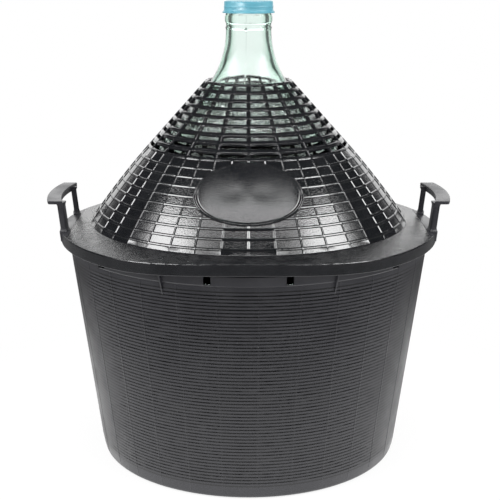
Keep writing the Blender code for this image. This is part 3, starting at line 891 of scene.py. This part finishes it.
# %% Build the bottle
def waves(heights, azimuths, amplitude, phase):
    """A few long waves round and along the bottle, as a sum of sines with whole numbers of turns."""
    total = np.zeros((len(heights), len(azimuths)))
    for turns, length, weight in ((2, 0.11, 1.0), (3, 0.067, 0.8), (5, 0.041, 0.6), (7, 0.029, 0.4)):
        along = np.sin(turn * heights[:, None] / length + phase * turns)
        total += weight * along * np.cos(turns * azimuths[None, :] + phase * length * 100)
    return amplitude * total


wave_height = 0.00012
seam_azimuth = -0.11
seam_width = 0.0006
seam_height = 0.0007
pip_half = 0.0023
pip_height = 0.0016
pip_centre = 0.5044
ring = glass_profile[1:-1]
seam_low, seam_fade = 0.436, 0.014
inner_share = 1.6
seam_half_steps = np.array((0.2, 0.4, 0.6, 0.9, 1.2, 1.6, 2.1, 2.7)) * 0.001
seam_steps = np.concatenate((-seam_half_steps[::-1], [0.0], seam_half_steps))
even = turn * np.arange(glass_columns) / glass_columns
is_near = np.abs(from_nearest(even - seam_azimuth, turn)) < 1.1 * pip_half / neck_radius
glass_azimuths = np.sort(np.concatenate((even[~is_near], seam_azimuth + seam_steps / neck_radius)) % turn)
ring_radius, ring_height = ring[:, :1], ring[:, 1:]
is_outside = np.arange(len(ring))[:, None] >= len(inside) - 1
strength = wave_height * np.clip((ring_low - ring_height) / 0.03, 0.0, 1.0)
strength = strength * np.clip((ring_height - 0.05) / 0.05, 0.0, 1.0)
outer_waves = waves(ring[:, 1], glass_azimuths, strength, 0.7)
inner_waves = waves(ring[:, 1], glass_azimuths, strength * inner_share, 2.1)
glass_relief = np.where(is_outside, outer_waves, inner_waves)
near_seam = from_nearest(glass_azimuths - seam_azimuth, turn)
seam = seam_height * np.exp(-((near_seam * ring_radius / seam_width) ** 2))
seam = seam * np.clip((ring_height - seam_low) / seam_fade, 0.0, 1.0) * (ring_height < bead_top)
pip_reach = np.abs(near_seam) * neck_radius + np.abs(ring_height - pip_centre)
glass_relief += is_outside * (seam + pip_height * np.clip(1 - pip_reach / pip_half, 0.0, 1.0))
glass_points, glass_sides, glass_fans = turned_grid(glass_profile, glass_azimuths, glass_relief)
bottle = make_piece("bottle", glass_points, glass_sides.reshape(-1, 4), *glass_fans)

# %% [markdown]
# ## Cap and liner
# The cap is a turned plastic cup with a fine line round it and a flared skirt. A foam disc inside it seals.

# %% Cap and liner
cap_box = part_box("cap")
cap_top, cap_bottom = cap_box[1].z, cap_box[0].z
cap_bore = 0.0258
cap_radius = 0.0282
cap_roof = 0.0020
cap_edge = 0.0016
cap_line = cap_top - 0.0064
bore_chamfer = 0.0005
line_outline = np.array(((0.0, 2.2), (0.1, 1.0), (0.4, 0.3), (0.4, -0.3), (0.1, -0.9))) * 0.001
skirt_outline = ((0.1, 4.2), (0.3, 3.1), (0.9, 2.1), (1.7, 1.4), (2.0, 1.0), (2.0, 0.3), (1.7, 0.0))
skirt_outline = np.array(skirt_outline) * 0.001
cap_profile = np.vstack((
    (0.0, cap_top),
    (0.012, cap_top),
    (0.0235, cap_top),
    arc((cap_radius - cap_edge, cap_top - cap_edge), cap_edge, 90, 4, 9),
    line_outline + (cap_radius, cap_line),
    skirt_outline + (cap_radius, cap_bottom),
    (cap_bore + bore_chamfer, cap_bottom),
    (cap_bore, cap_bottom + bore_chamfer),
    (cap_bore, cap_top - cap_roof),
    (0.012, cap_top - cap_roof),
    (0.0, cap_top - cap_roof),
))
cap = smooth_turned("cap_shell", cap_profile, 128)
liner_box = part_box("cap_seal")
liner_top, liner_low = liner_box[1].z, liner_box[0].z
liner_edge, liner_dish = 0.0004, 0.0002
liner_centre = cap_bore - 0.0006 - liner_edge
liner_profile = np.vstack((
    (0.0, liner_top),
    arc((liner_centre, liner_top - liner_edge), liner_edge, 90, 0, 4),
    arc((liner_centre, liner_low + liner_edge), liner_edge, 0, -90, 4),
    (0.021, liner_low),
    (0.0205, liner_low + liner_dish),
    (0.0, liner_low + liner_dish),
))
liner = smooth_turned("cap_liner", liner_profile, 96)

# %% [markdown]
# ## Short calls for nodes
# A material is a graph of nodes. In Blender's editor they are placed and linked by hand, and here one small
# class adds and links them, so that a material reads like its formula.

# %% Node helpers
class Nodes:
    """A short way to add and link nodes in one tree."""

    def __init__(self, tree):
        self.tree = tree

    def feed(self, node, inputs):
        """Links a socket, or sets a plain value, for each input that is named."""
        for name, value in inputs.items():
            if isinstance(value, bpy.types.NodeSocket):
                self.tree.links.new(value, node.inputs[name])
            else:
                node.inputs[name].default_value = value

    def add(self, kind, inputs=None, **settings):
        node = self.tree.nodes.new(kind)
        for name, value in settings.items():
            setattr(node, name, value)
        self.feed(node, inputs or {})
        return node

    def math(self, operation, first, second=0.0, third=0.0, clamp=False):
        inputs = {0: first, 1: second, 2: third}
        return self.add("ShaderNodeMath", inputs, operation=operation, use_clamp=clamp).outputs[0]

    def times(self, first, second):
        return self.math("MULTIPLY", first, second)

    def most(self, first, second):
        return self.math("MAXIMUM", first, second)

    def here(self):
        """The place in the object's own coordinates."""
        return self.add("ShaderNodeTexCoord").outputs["Object"]

    def axis(self, vector, name):
        return self.add("ShaderNodeSeparateXYZ", {0: vector}).outputs[name]

    def vector(self, operation, first, second=(0.0, 0.0, 0.0), output="Value"):
        return self.add("ShaderNodeVectorMath", {0: first, 1: second}, operation=operation).outputs[output]

    def level_length(self, vector):
        """The square root of x squared plus y squared."""
        return self.vector("LENGTH", self.vector("MULTIPLY", vector, (1.0, 1.0, 0.0), "Vector"))

    def ramp(self, value, low, high, to_low=0.0, to_high=1.0):
        """A smooth step from one value at low to the other at high."""
        inputs = {"Value": value, "From Min": low, "From Max": high, "To Min": to_low, "To Max": to_high}
        return self.add("ShaderNodeMapRange", inputs, interpolation_type="SMOOTHSTEP").outputs[0]

    def noise(self, vector, scale, detail=2.0, roughness=0.5, distortion=0.0):
        inputs = dict(Vector=vector, Scale=scale, Detail=detail, Roughness=roughness, Distortion=distortion)
        return self.add("ShaderNodeTexNoise", inputs).outputs[0]

    def bump(self, height, strength, distance):
        inputs = {"Height": height, "Strength": strength, "Distance": distance}
        return self.add("ShaderNodeBump", inputs).outputs[0]

    def mix_value(self, factor, first, second):
        """First where the factor is 0 and second where it is 1."""
        return self.math("MULTIPLY_ADD", self.math("SUBTRACT", second, first), factor, first)

    def mix(self, factor, first, second):
        """The same for colours. The node has sockets for every kind of value: 6 and 7 are its colours."""
        return self.add("ShaderNodeMix", {0: factor, 6: first, 7: second}, data_type="RGBA").outputs[2]

# %% [markdown]
# ## Grain that both plastics share
# Moulded plastic is never even: it has fine leathery grain, broad patches of gloss, dust specks and
# scratches. Each is a noise pattern in the object's own coordinates, so it stays put when the object turns
# or moves. They are built once as a node group, which gives a height, a patch mask and a mark mask.

# %% Moulding grain
def new_group(name, inputs, outputs):
    """A node group with these inputs and outputs: its helper, the sockets that it is given, and its last
    node."""
    tree = bpy.data.node_groups.new(name, "ShaderNodeTree")
    for key, value in inputs.items():
        kind = "NodeSocketVector" if isinstance(value, tuple) else "NodeSocketFloat"
        tree.interface.new_socket(key, in_out="INPUT", socket_type=kind).default_value = value
    for key in outputs:
        tree.interface.new_socket(key, in_out="OUTPUT", socket_type="NodeSocketFloat")
    nodes = Nodes(tree)
    return nodes, nodes.add("NodeGroupInput").outputs, nodes.add("NodeGroupOutput")


def moulding_group():
    """Height, Patch and Mark over the surface, from noises whose sizes follow the group's inputs. A mark is
    where a stretched noise (a scratch) or a fine one (a speck) passes a limit, which a larger Mark Share
    lowers."""
    sizes = {"Grain Scale": 900.0, "Patch Scale": 30.0, "Mark Scale": 120.0, "Mark Share": 0.1}
    nodes, given, out = new_group("Moulding grain", sizes, ("Height", "Patch", "Mark"))
    where = nodes.here()
    fine = nodes.noise(where, given["Grain Scale"], 3.0, 0.6, 0.4)
    broad = nodes.noise(where, nodes.times(given["Grain Scale"], 0.3), 2.0, 0.5)
    patch = nodes.noise(where, given["Patch Scale"], 4.0, 0.6)
    stretched = {"Vector": where, "Rotation": (0.5, 0.3, 0.9), "Scale": (1.0, 9.0, 1.0)}
    along = nodes.add("ShaderNodeMapping", stretched).outputs[0]
    scratch = nodes.noise(along, nodes.times(given["Mark Scale"], 0.6), 2.0, 0.7)
    speck = nodes.noise(where, nodes.times(given["Mark Scale"], 5.0), 1.0, 0.5)
    limit = nodes.math("SUBTRACT", 0.84, given["Mark Share"])
    marks = nodes.most(nodes.ramp(scratch, limit, 0.9), nodes.ramp(speck, limit, 0.86))
    height = nodes.math("MULTIPLY_ADD", broad, 0.3, fine)
    nodes.feed(out, {"Height": height, "Patch": nodes.ramp(patch, 0.3, 0.7), "Mark": marks})
    return nodes.tree


moulding = moulding_group()
print("node group:", moulding.name, [item.name for item in moulding.interface.items_tree])

# %% [markdown]
# ## The plastics
# The cover is glossy and nearly black: almost all that is seen on it is reflection. The basket is a satin
# dark grey. Scratches and dust are lighter and duller than the skin, so a mark raises both colour and
# roughness.

# %% Plastic materials
mark_dulls, scuff_dulls, wear_dulls = 0.25, 0.10, 0.08
scuff_lightens = 0.12
wear_roughens = 5.0


def grey(level):
    return level, level, level, 1.0


def new_material(name):
    """An empty material with a Principled shader, and the helper for its tree."""
    material = bpy.data.materials.new(name)
    material.use_nodes = True
    return material, Nodes(material.node_tree), material.node_tree.nodes["Principled BSDF"]


def plastic(name, colours, roughness, grain, bump, specular, shadow=None, worn=None):
    """Moulded plastic. Patches shade it between two colours and two roughnesses, and marks show the third
    colour. Grain holds the group's four inputs, and bump the strength and depth of its relief. Shadow is a
    function that gives how deep a place lies in a groove. Worn gives how worn a place is, which dulls and
    roughens it, and how scuffed, which dulls and lightens it."""
    material, nodes, shader = new_material(name)
    dark, light, mark = colours
    skin = nodes.add("ShaderNodeGroup", dict(enumerate(grain)), node_tree=moulding).outputs
    shade = nodes.mix(skin["Patch"], dark, light)
    if shadow:
        shade = nodes.mix(shadow(nodes), shade, grey(0.0))
    colour = nodes.mix(skin["Mark"], shade, mark)
    gloss = nodes.ramp(skin["Patch"], 0.0, 1.0, *roughness)
    dull = nodes.math("MULTIPLY_ADD", skin["Mark"], mark_dulls, gloss)
    relief = skin["Height"]
    if worn:
        wear, scuffs = worn(nodes)
        colour = nodes.mix(nodes.times(scuffs, scuff_lightens), colour, mark)
        dull = nodes.math("MULTIPLY_ADD", scuffs, scuff_dulls, dull)
        dull = nodes.math("MULTIPLY_ADD", wear, wear_dulls, dull)
        relief = nodes.times(relief, nodes.math("MULTIPLY_ADD", wear, wear_roughens, 1.0))
    nodes.feed(shader, {"Base Color": colour, "Roughness": dull, "Normal": nodes.bump(relief, *bump)})
    shader.inputs["Specular IOR Level"].default_value = specular
    return material


def groove_shadow(nodes):
    """Dark grooves between the tub's ribs: how near the height is to a groove, on the tub's ribbed wall
    only."""
    height = nodes.axis(nodes.here(), "Z")
    rib_pitch = (ribs_high - ribs_low) / rib_count
    phase = nodes.math("DIVIDE", nodes.math("SUBTRACT", height, ribs_low + rib_pitch / 2), rib_pitch)
    near_groove = nodes.ramp(nodes.math("PINGPONG", phase, 0.5), 0.06, 0.30, 0.8, 0.0)
    on_wall = nodes.math("COMPARE", height, (ribs_low + ribs_high) / 2, (ribs_high - ribs_low) / 2)
    return nodes.times(near_groove, on_wall)


def worn_flange(nodes):
    """The flange's top is worn: 1 between the radius of the cone's foot and that of the lip, 0 elsewhere.
    Its scuffs are the same, broken up by a noise."""
    where = nodes.here()
    radius = nodes.level_length(where)
    after_foot = nodes.ramp(radius, cone_foot_radius - 0.001, cone_foot_radius + 0.001)
    before_lip = nodes.ramp(radius, flange_radius - 0.0015, flange_radius - 0.0005, 1.0, 0.0)
    wear = nodes.times(after_foot, before_lip)
    streaks = nodes.ramp(nodes.noise(where, 50.0, 5.0, 0.7, 1.2), 0.40, 0.64)
    return wear, nodes.times(wear, streaks)


cover_plastic = plastic(
    "cover_plastic", ((0.006, 0.0064, 0.0076, 1.0), (0.010, 0.0105, 0.012, 1.0), grey(0.16)), (0.045, 0.095),
    (600.0, 40.0, 110.0, 0.06), (0.55, 0.0002), 1.0, worn=worn_flange,
)
plate_plastic = plastic(
    "plate_plastic", ((0.007, 0.0075, 0.009, 1.0), (0.012, 0.0125, 0.014, 1.0), grey(0.05)), (0.045, 0.085),
    (750.0, 60.0, 110.0, 0.03), (1.0, 0.00008), 1.0,
)
basket_plastic = plastic(
    "basket_plastic", ((0.020, 0.020, 0.024, 1.0), (0.027, 0.027, 0.032, 1.0), grey(0.12)), (0.31, 0.41),
    (1100.0, 22.0, 90.0, 0.07), (0.3, 0.0002), 0.55, shadow=groove_shadow,
)

# %% [markdown]
# ## Glass, cap and foam
# Green glass looks pale where it is thin and deep where sight runs along the wall, so most of its colour
# belongs in the volume, and the surface has only a tint that grows where it is seen at a slant. Just below
# the neck the glass is scuffed. The cap is a plain satin plastic, and its liner a soft white foam.

# %% Glass, cap and liner materials
scuffed_low, scuffed_top = (0.386, 0.391), (0.415, 0.438)


def bottle_glass():
    """Clear glass with a constant green absorption. From the first of the two heights up to the second its
    surface is rippled and has a rough coat, as scuffed glass has. Above, three hundredths of both are
    left."""
    material, nodes, shader = new_material("green_glass")
    absorb = nodes.add("ShaderNodeVolumeAbsorption", {"Color": (0.16, 0.93, 0.60, 1.0), "Density": 14.0})
    nodes.feed(material.node_tree.nodes["Material Output"], {"Volume": absorb.outputs[0]})
    slant = nodes.ramp(nodes.add("ShaderNodeLayerWeight").outputs["Facing"], 0.20, 0.80)
    where = nodes.here()
    height = nodes.axis(where, "Z")
    scuffed = nodes.times(nodes.ramp(height, *scuffed_top, 1.0, 0.03), nodes.ramp(height, *scuffed_low))
    ripple = nodes.bump(nodes.times(nodes.noise(where, 240.0, 3.0, 0.6, 0.5), scuffed), 1.0, 0.0018)
    nodes.feed(shader, {
        "Base Color": nodes.mix(slant, grey(1.0), (0.46, 0.66, 0.56, 1.0)), "Normal": ripple,
        "Coat Weight": scuffed, "Coat Normal": ripple, "Coat IOR": 2.6, "Coat Roughness": 0.12,
        "Roughness": 0.0, "IOR": 1.5, "Transmission Weight": 1.0, "Specular Tint": grey(0.12),
    })
    return material


def satin(name, dark, light, roughness, grain, bump):
    """A plain satin finish with faint clouds of colour and a fine grain."""
    material, nodes, shader = new_material(name)
    where = nodes.here()
    cloud = nodes.ramp(nodes.noise(where, 90.0, 3.0), 0.35, 0.65)
    normal = nodes.bump(nodes.noise(where, grain), bump, 0.0002)
    gloss = nodes.ramp(cloud, 0.0, 1.0, *roughness)
    nodes.feed(shader, {"Base Color": nodes.mix(cloud, dark, light), "Roughness": gloss, "Normal": normal})
    return material


green_glass = bottle_glass()
cap_blues = (0.075, 0.265, 0.34, 1.0), (0.095, 0.30, 0.375, 1.0)
foam_whites = (0.80, 0.80, 0.76, 1.0), (0.88, 0.88, 0.85, 1.0)
cap_plastic = satin("cap_plastic", *cap_blues, (0.34, 0.42), 1200.0, 0.15)
seal_foam = satin("seal_foam", *foam_whites, (0.6, 0.8), 2500.0, 0.6)
print("finishes:", [finish.name for finish in (green_glass, cap_plastic, seal_foam)])

# %% [markdown]
# ## Dressing the frame
# Every piece is told which body it moves with, which node of the frame it stands for, and which finish it
# takes.

# %% Dress the pieces
dress(cover, "cover", "cover", cover_plastic)
dress(plate, "cover", "cover", plate_plastic)
for piece in (tub, gussets, *handles):
    dress(piece, "basket", "basket", basket_plastic)
dress(bottle, "glass", "glass_bottle", green_glass)
dress(cap, "cap", "cap", cap_plastic)
dress(liner, "cap", "cap_seal", seal_foam)

# %% [markdown]
# ## Stage
# Black gloss and clear glass show their surroundings, so the stage is built for what they mirror and bend.
# To the eye itself everything is white. Sight that goes through glass meets a bright backdrop behind the
# object, and brightness again at the sides and in front, with a dim gap on either side of the backdrop. The
# gap is what draws the dark green edges of the neck, because the edges bend sight far to the side. The
# price is that the neck looks dark grey to someone who stands at 45 degrees and looks straight at the gap.
# Gloss mirrors grey sides, a bright back and a dim front, which keeps the front of the plastic dark. One
# node group tells where a place or a direction lies, by its angle from straight behind.

# %% Surroundings
side_in_glass, back_in_glass = 0.14, 0.95
side_in_gloss, back_in_gloss = 0.20, 1.6
front_in_gloss = 0.12


def surroundings_group():
    """Four values for a place or a direction. Behind falls from 1 to 0 between 20 and 40 degrees from
    straight behind. Open is Behind, and rises to 1 again between 64 and 74 degrees. In Front rises from 0
    to 1 between 68 and 38 degrees from straight in front. Reach is the level distance. The cosine of the
    angle from straight behind is y divided by the level distance."""
    outputs = ("Behind", "In Front", "Open", "Reach")
    nodes, given, out = new_group("Surroundings", {"Place": (0.0, 0.0, 0.0)}, outputs)
    cosines = {degrees: math.cos(math.radians(degrees)) for degrees in (20, 38, 40, 64, 68, 74)}
    reach = nodes.level_length(given["Place"])
    share = nodes.math("DIVIDE", nodes.axis(given["Place"], "Y"), nodes.most(reach, 0.001))
    behind = nodes.ramp(share, cosines[40], cosines[20])
    beyond = nodes.ramp(share, cosines[74], cosines[64], 1.0, 0.0)
    in_front = nodes.ramp(share, -cosines[68], -cosines[38])
    nodes.feed(out, {"Behind": behind, "In Front": in_front, "Reach": reach})
    nodes.feed(out, {"Open": nodes.most(behind, beyond)})
    return nodes.tree


def seen_level(nodes, open_share, beside, in_front):
    """How bright the surroundings are to each kind of ray. Camera rays see white. Rays through glass see
    from the side level to the back level, by the open share. Mirrored rays see the level beside, or the dim
    front's."""
    path = nodes.add("ShaderNodeLightPath").outputs
    in_glass = nodes.ramp(open_share, 0.0, 1.0, side_in_glass, back_in_glass)
    through = nodes.times(path["Is Transmission Ray"], in_glass)
    gloss_only = nodes.math("SUBTRACT", path["Is Glossy Ray"], path["Is Transmission Ray"], clamp=True)
    mirrored = nodes.times(gloss_only, nodes.mix_value(in_front, beside, front_in_gloss))
    return nodes.most(path["Is Camera Ray"], nodes.math("ADD", through, mirrored))


def around_place(nodes, place):
    return nodes.add("ShaderNodeGroup", {"Place": place}, node_tree=surroundings).outputs


surroundings = surroundings_group()
print("node group:", surroundings.name, [item.name for item in surroundings.interface.items_tree])

# %% [markdown]
# ## Floor
# Far from the object the floor glows as bright as each kind of ray should see it. Close by, some of the
# glow gives way to a plain matt floor, which takes the soft shadow.

# %% Floor
floor_half, floor_drop = 15.0, 0.0003
shadow_reach, shadow_glow = (0.2, 0.5), 0.85
near_reach, table_reach = (0.25, 0.8), (2.2, 3.6)
far_in_gloss, near_in_gloss = 0.35, 1.4

floor_corners = np.array(((-1, -1, 0), (1, -1, 0), (1, 1, 0), (-1, 1, 0))) * floor_half
floor = make_piece("floor", floor_corners - (0.0, 0.0, floor_drop), np.array(((0, 1, 2, 3),)))
floor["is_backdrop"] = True
floor_material, nodes, shader = new_material("floor_white")
nodes.feed(shader, {"Base Color": grey(0.9), "Roughness": 0.9})
around = around_place(nodes, nodes.here())
path = nodes.add("ShaderNodeLightPath").outputs
seen = nodes.math("SUBTRACT", 1.0, path["Is Diffuse Ray"], clamp=True)
glow_share = nodes.times(seen, nodes.ramp(around["Reach"], *shadow_reach, shadow_glow, 1.0))
far = nodes.ramp(around["Reach"], *near_reach)
table = nodes.ramp(around["Reach"], *table_reach, 1.0, 0.0)
near = nodes.math("SUBTRACT", 1.0, far)
beside = nodes.ramp(around["Behind"], 0.0, 1.0, side_in_gloss, far_in_gloss)
strength = seen_level(
    nodes,
    nodes.most(around["Open"], near),
    nodes.mix_value(near, beside, near_in_gloss),
    nodes.times(around["In Front"], nodes.times(far, table)),
)
glow = nodes.add("ShaderNodeEmission", {"Color": grey(1.0), "Strength": strength})
surface = nodes.add("ShaderNodeMixShader", {0: glow_share, 1: shader.outputs[0], 2: glow.outputs[0]})
nodes.feed(floor_material.node_tree.nodes["Material Output"], {"Surface": surface.outputs[0]})
floor.data.materials.append(floor_material)

# %% [markdown]
# ## World
# The world is a bright wall up to a dim sky, and the wall stands higher behind the object than elsewhere.
# Glass sees a very bright sky instead. Matt surfaces see an even fill from everywhere.

# %% World
sky_level = 0.10
fill_level = 1.0
overhead_in_glass = 6.0
wall_top, wall_rise = (0.14, 0.26), 0.30
overhead_from = (0.25, 0.45)

world = bpy.data.worlds.new("studio")
bpy.context.scene.world = world
world.use_nodes = True
nodes = Nodes(world.node_tree)
direction = nodes.add("ShaderNodeTexCoord").outputs["Generated"]
around = around_place(nodes, direction)
height = nodes.axis(direction, "Z")
risen = nodes.math("MULTIPLY_ADD", around["Behind"], -wall_rise, height)
wall = nodes.ramp(risen, *wall_top, 1.0, sky_level)
path = nodes.add("ShaderNodeLightPath").outputs
beside = nodes.ramp(around["Behind"], 0.0, 1.0, side_in_gloss, back_in_gloss)
shown = nodes.times(seen_level(nodes, around["Open"], beside, around["In Front"]), wall)
overhead = nodes.ramp(height, *overhead_from, 0.0, overhead_in_glass)
overhead = nodes.times(path["Is Transmission Ray"], overhead)
fill = nodes.times(path["Is Diffuse Ray"], fill_level)
strength = nodes.most(nodes.most(nodes.most(shown, overhead), fill), path["Is Camera Ray"])
nodes.feed(world.node_tree.nodes["Background"], {"Strength": strength, "Color": grey(1.0)})
print("world:", world.name, "with", len(world.node_tree.nodes), "nodes")

# %% [markdown]
# ## Soft boxes
# A mirror-like cone shows a lamp where the mirrored line of sight meets it. Following that line back from
# the edges of the two bright fields on the cone gives the direction, size and tilt of each soft box.

# %% Soft boxes
box_radiance = 9.5
box_centre = np.array((0.985, -0.455, 1.586))
box_facing = np.array((0.575, -0.193, 0.796))
box_level = np.array((0.556, 0.805, -0.207))
left, right, low, high = -0.75, 0.85, -0.70, -0.05
inner_fade = (-0.35, -0.16, 0.36, 1.0)
outer_fade = (0.42, 0.78, 1.0, 0.12)


def rectangle_lamp(name, place, axes, sizes, radiance):
    """A rectangular lamp whose local axes are given, so that it shines against the third one."""
    data = bpy.data.lights.new(name, "AREA")
    data.shape = "RECTANGLE"
    data.size, data.size_y = sizes
    data.energy = radiance * math.pi * sizes[0] * sizes[1]
    data.use_nodes = True
    lamp = bpy.data.objects.new(name, data)
    bpy.context.scene.collection.objects.link(lamp)
    lamp.location = place
    lamp.rotation_euler = Matrix(np.stack(axes, 1).tolist()).to_euler()
    lamp.visible_camera = False
    print(f"{name}: at {np.round(place, 2)}, shines towards {(-axes[2]).round(2)}")
    return lamp


def lamp_nodes(lamp):
    """The helper for a lamp's tree, the point on the lamp that a ray meets, and its Emission node."""
    nodes = Nodes(lamp.data.node_tree)
    return nodes, nodes.add("ShaderNodeNewGeometry").outputs["Position"], nodes.tree.nodes["Emission"]


def soft_box(name, side):
    """A soft box on one side, mirrored for the other. It is brightest in its middle and fades to both ends,
    by the distance along its level axis."""
    mirror = np.array((side, 1.0, 1.0))
    axis_z = box_facing * mirror / np.linalg.norm(box_facing)
    outward = box_level * mirror
    axis_y = np.cross(axis_z, outward) * side
    axis_x = np.cross(axis_y, axis_z)
    place = box_centre * mirror + outward * (left + right) / 2 + axis_y * (low + high) / 2
    lamp = rectangle_lamp(name, place, (axis_x, axis_y, axis_z), (right - left, high - low), box_radiance)
    nodes, where, emission = lamp_nodes(lamp)
    along = nodes.vector("DOT_PRODUCT", where, outward)
    across = nodes.math("SUBTRACT", along, float(outward @ (box_centre * mirror)))
    strength = nodes.times(nodes.ramp(across, *inner_fade), nodes.ramp(across, *outer_fade))
    nodes.feed(emission, {"Strength": strength})


soft_box("soft_box_right", 1.0)
soft_box("soft_box_left", -1.0)

# %% [markdown]
# ## A strip and a window
# A dim bent strip overhead is mirrored by the lower half of the label plate. It is a rectangle that only
# shines between two distances from a point behind the object. A tall narrow window at the left draws the
# upright streak on the cap. Light linking makes it shine on the cap alone, because otherwise it puts white
# glints on the cone.

# %% Strip and window
strip_radiance = 4.0
strip_place = np.array((0.0, -1.0, 2.2))
strip_sizes = (2.2, 0.7)
strip_centre = (0.0, 1.182, 2.2)
strip_reach = (2.15, 2.43)
window_azimuth = math.radians(-36.0)
window_radiance = 85.0
window_distance, window_height = 1.6, 0.45
window_sizes = (0.22, 0.7)
upwards = np.array((0.0, 0.0, 1.0))

strip = rectangle_lamp("strip", strip_place, np.eye(3), strip_sizes, strip_radiance)
nodes, where, emission = lamp_nodes(strip)
reach = nodes.vector("DISTANCE", where, strip_centre)
inside_strip = nodes.math("COMPARE", reach, sum(strip_reach) / 2, (strip_reach[1] - strip_reach[0]) / 2)
nodes.feed(emission, {"Strength": inside_strip})

window_out = np.array((math.sin(window_azimuth), -math.cos(window_azimuth), 0.0))
window_axes = np.array((np.cross(upwards, window_out), upwards, window_out))
window_place = window_distance * window_out + window_height * upwards
window = rectangle_lamp("window", window_place, window_axes, window_sizes, window_radiance)
window.visible_diffuse = False
window.visible_transmission = False
lit_by_window = bpy.data.collections.new("lit by the window")
lit_by_window.objects.link(cap)
window.light_linking.receiver_collection = lit_by_window

# %% [markdown]
# ## Camera
# The camera stands in front and looks down by 14.2 degrees, so that the top of the flange shows.

# %% Camera
camera_data = bpy.data.cameras.new("camera")
camera_data.sensor_width = 36.0
camera_data.lens = 82.8
camera_data.shift_x = 0.0028
camera = bpy.data.objects.new("camera", camera_data)
bpy.context.scene.collection.objects.link(camera)
camera.location = (0.0, -1.350, 0.5819)
camera.rotation_euler = (math.radians(90.0 - 14.2), 0.0, 0.0)
bpy.context.scene.camera = camera
bpy.context.scene.view_settings.view_transform = "Standard"
print(f"camera: {camera_data.lens} mm lens, {-camera.location.y:.3f} m in front")

# %% [markdown]
# ## The size of the model
# The dressed model is meant to stay inside the frame's box. Both boxes are kept and printed, so that they can
# be compared.

# %% Finish
sizes = {"cad": [list(corner) for corner in cad_box], "visual": [list(corner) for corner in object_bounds()]}
for name, box in sizes.items():
    print(f"size, {name}: {np.round(np.subtract(box[1], box[0]) * 1000, 1).tolist()} mm")
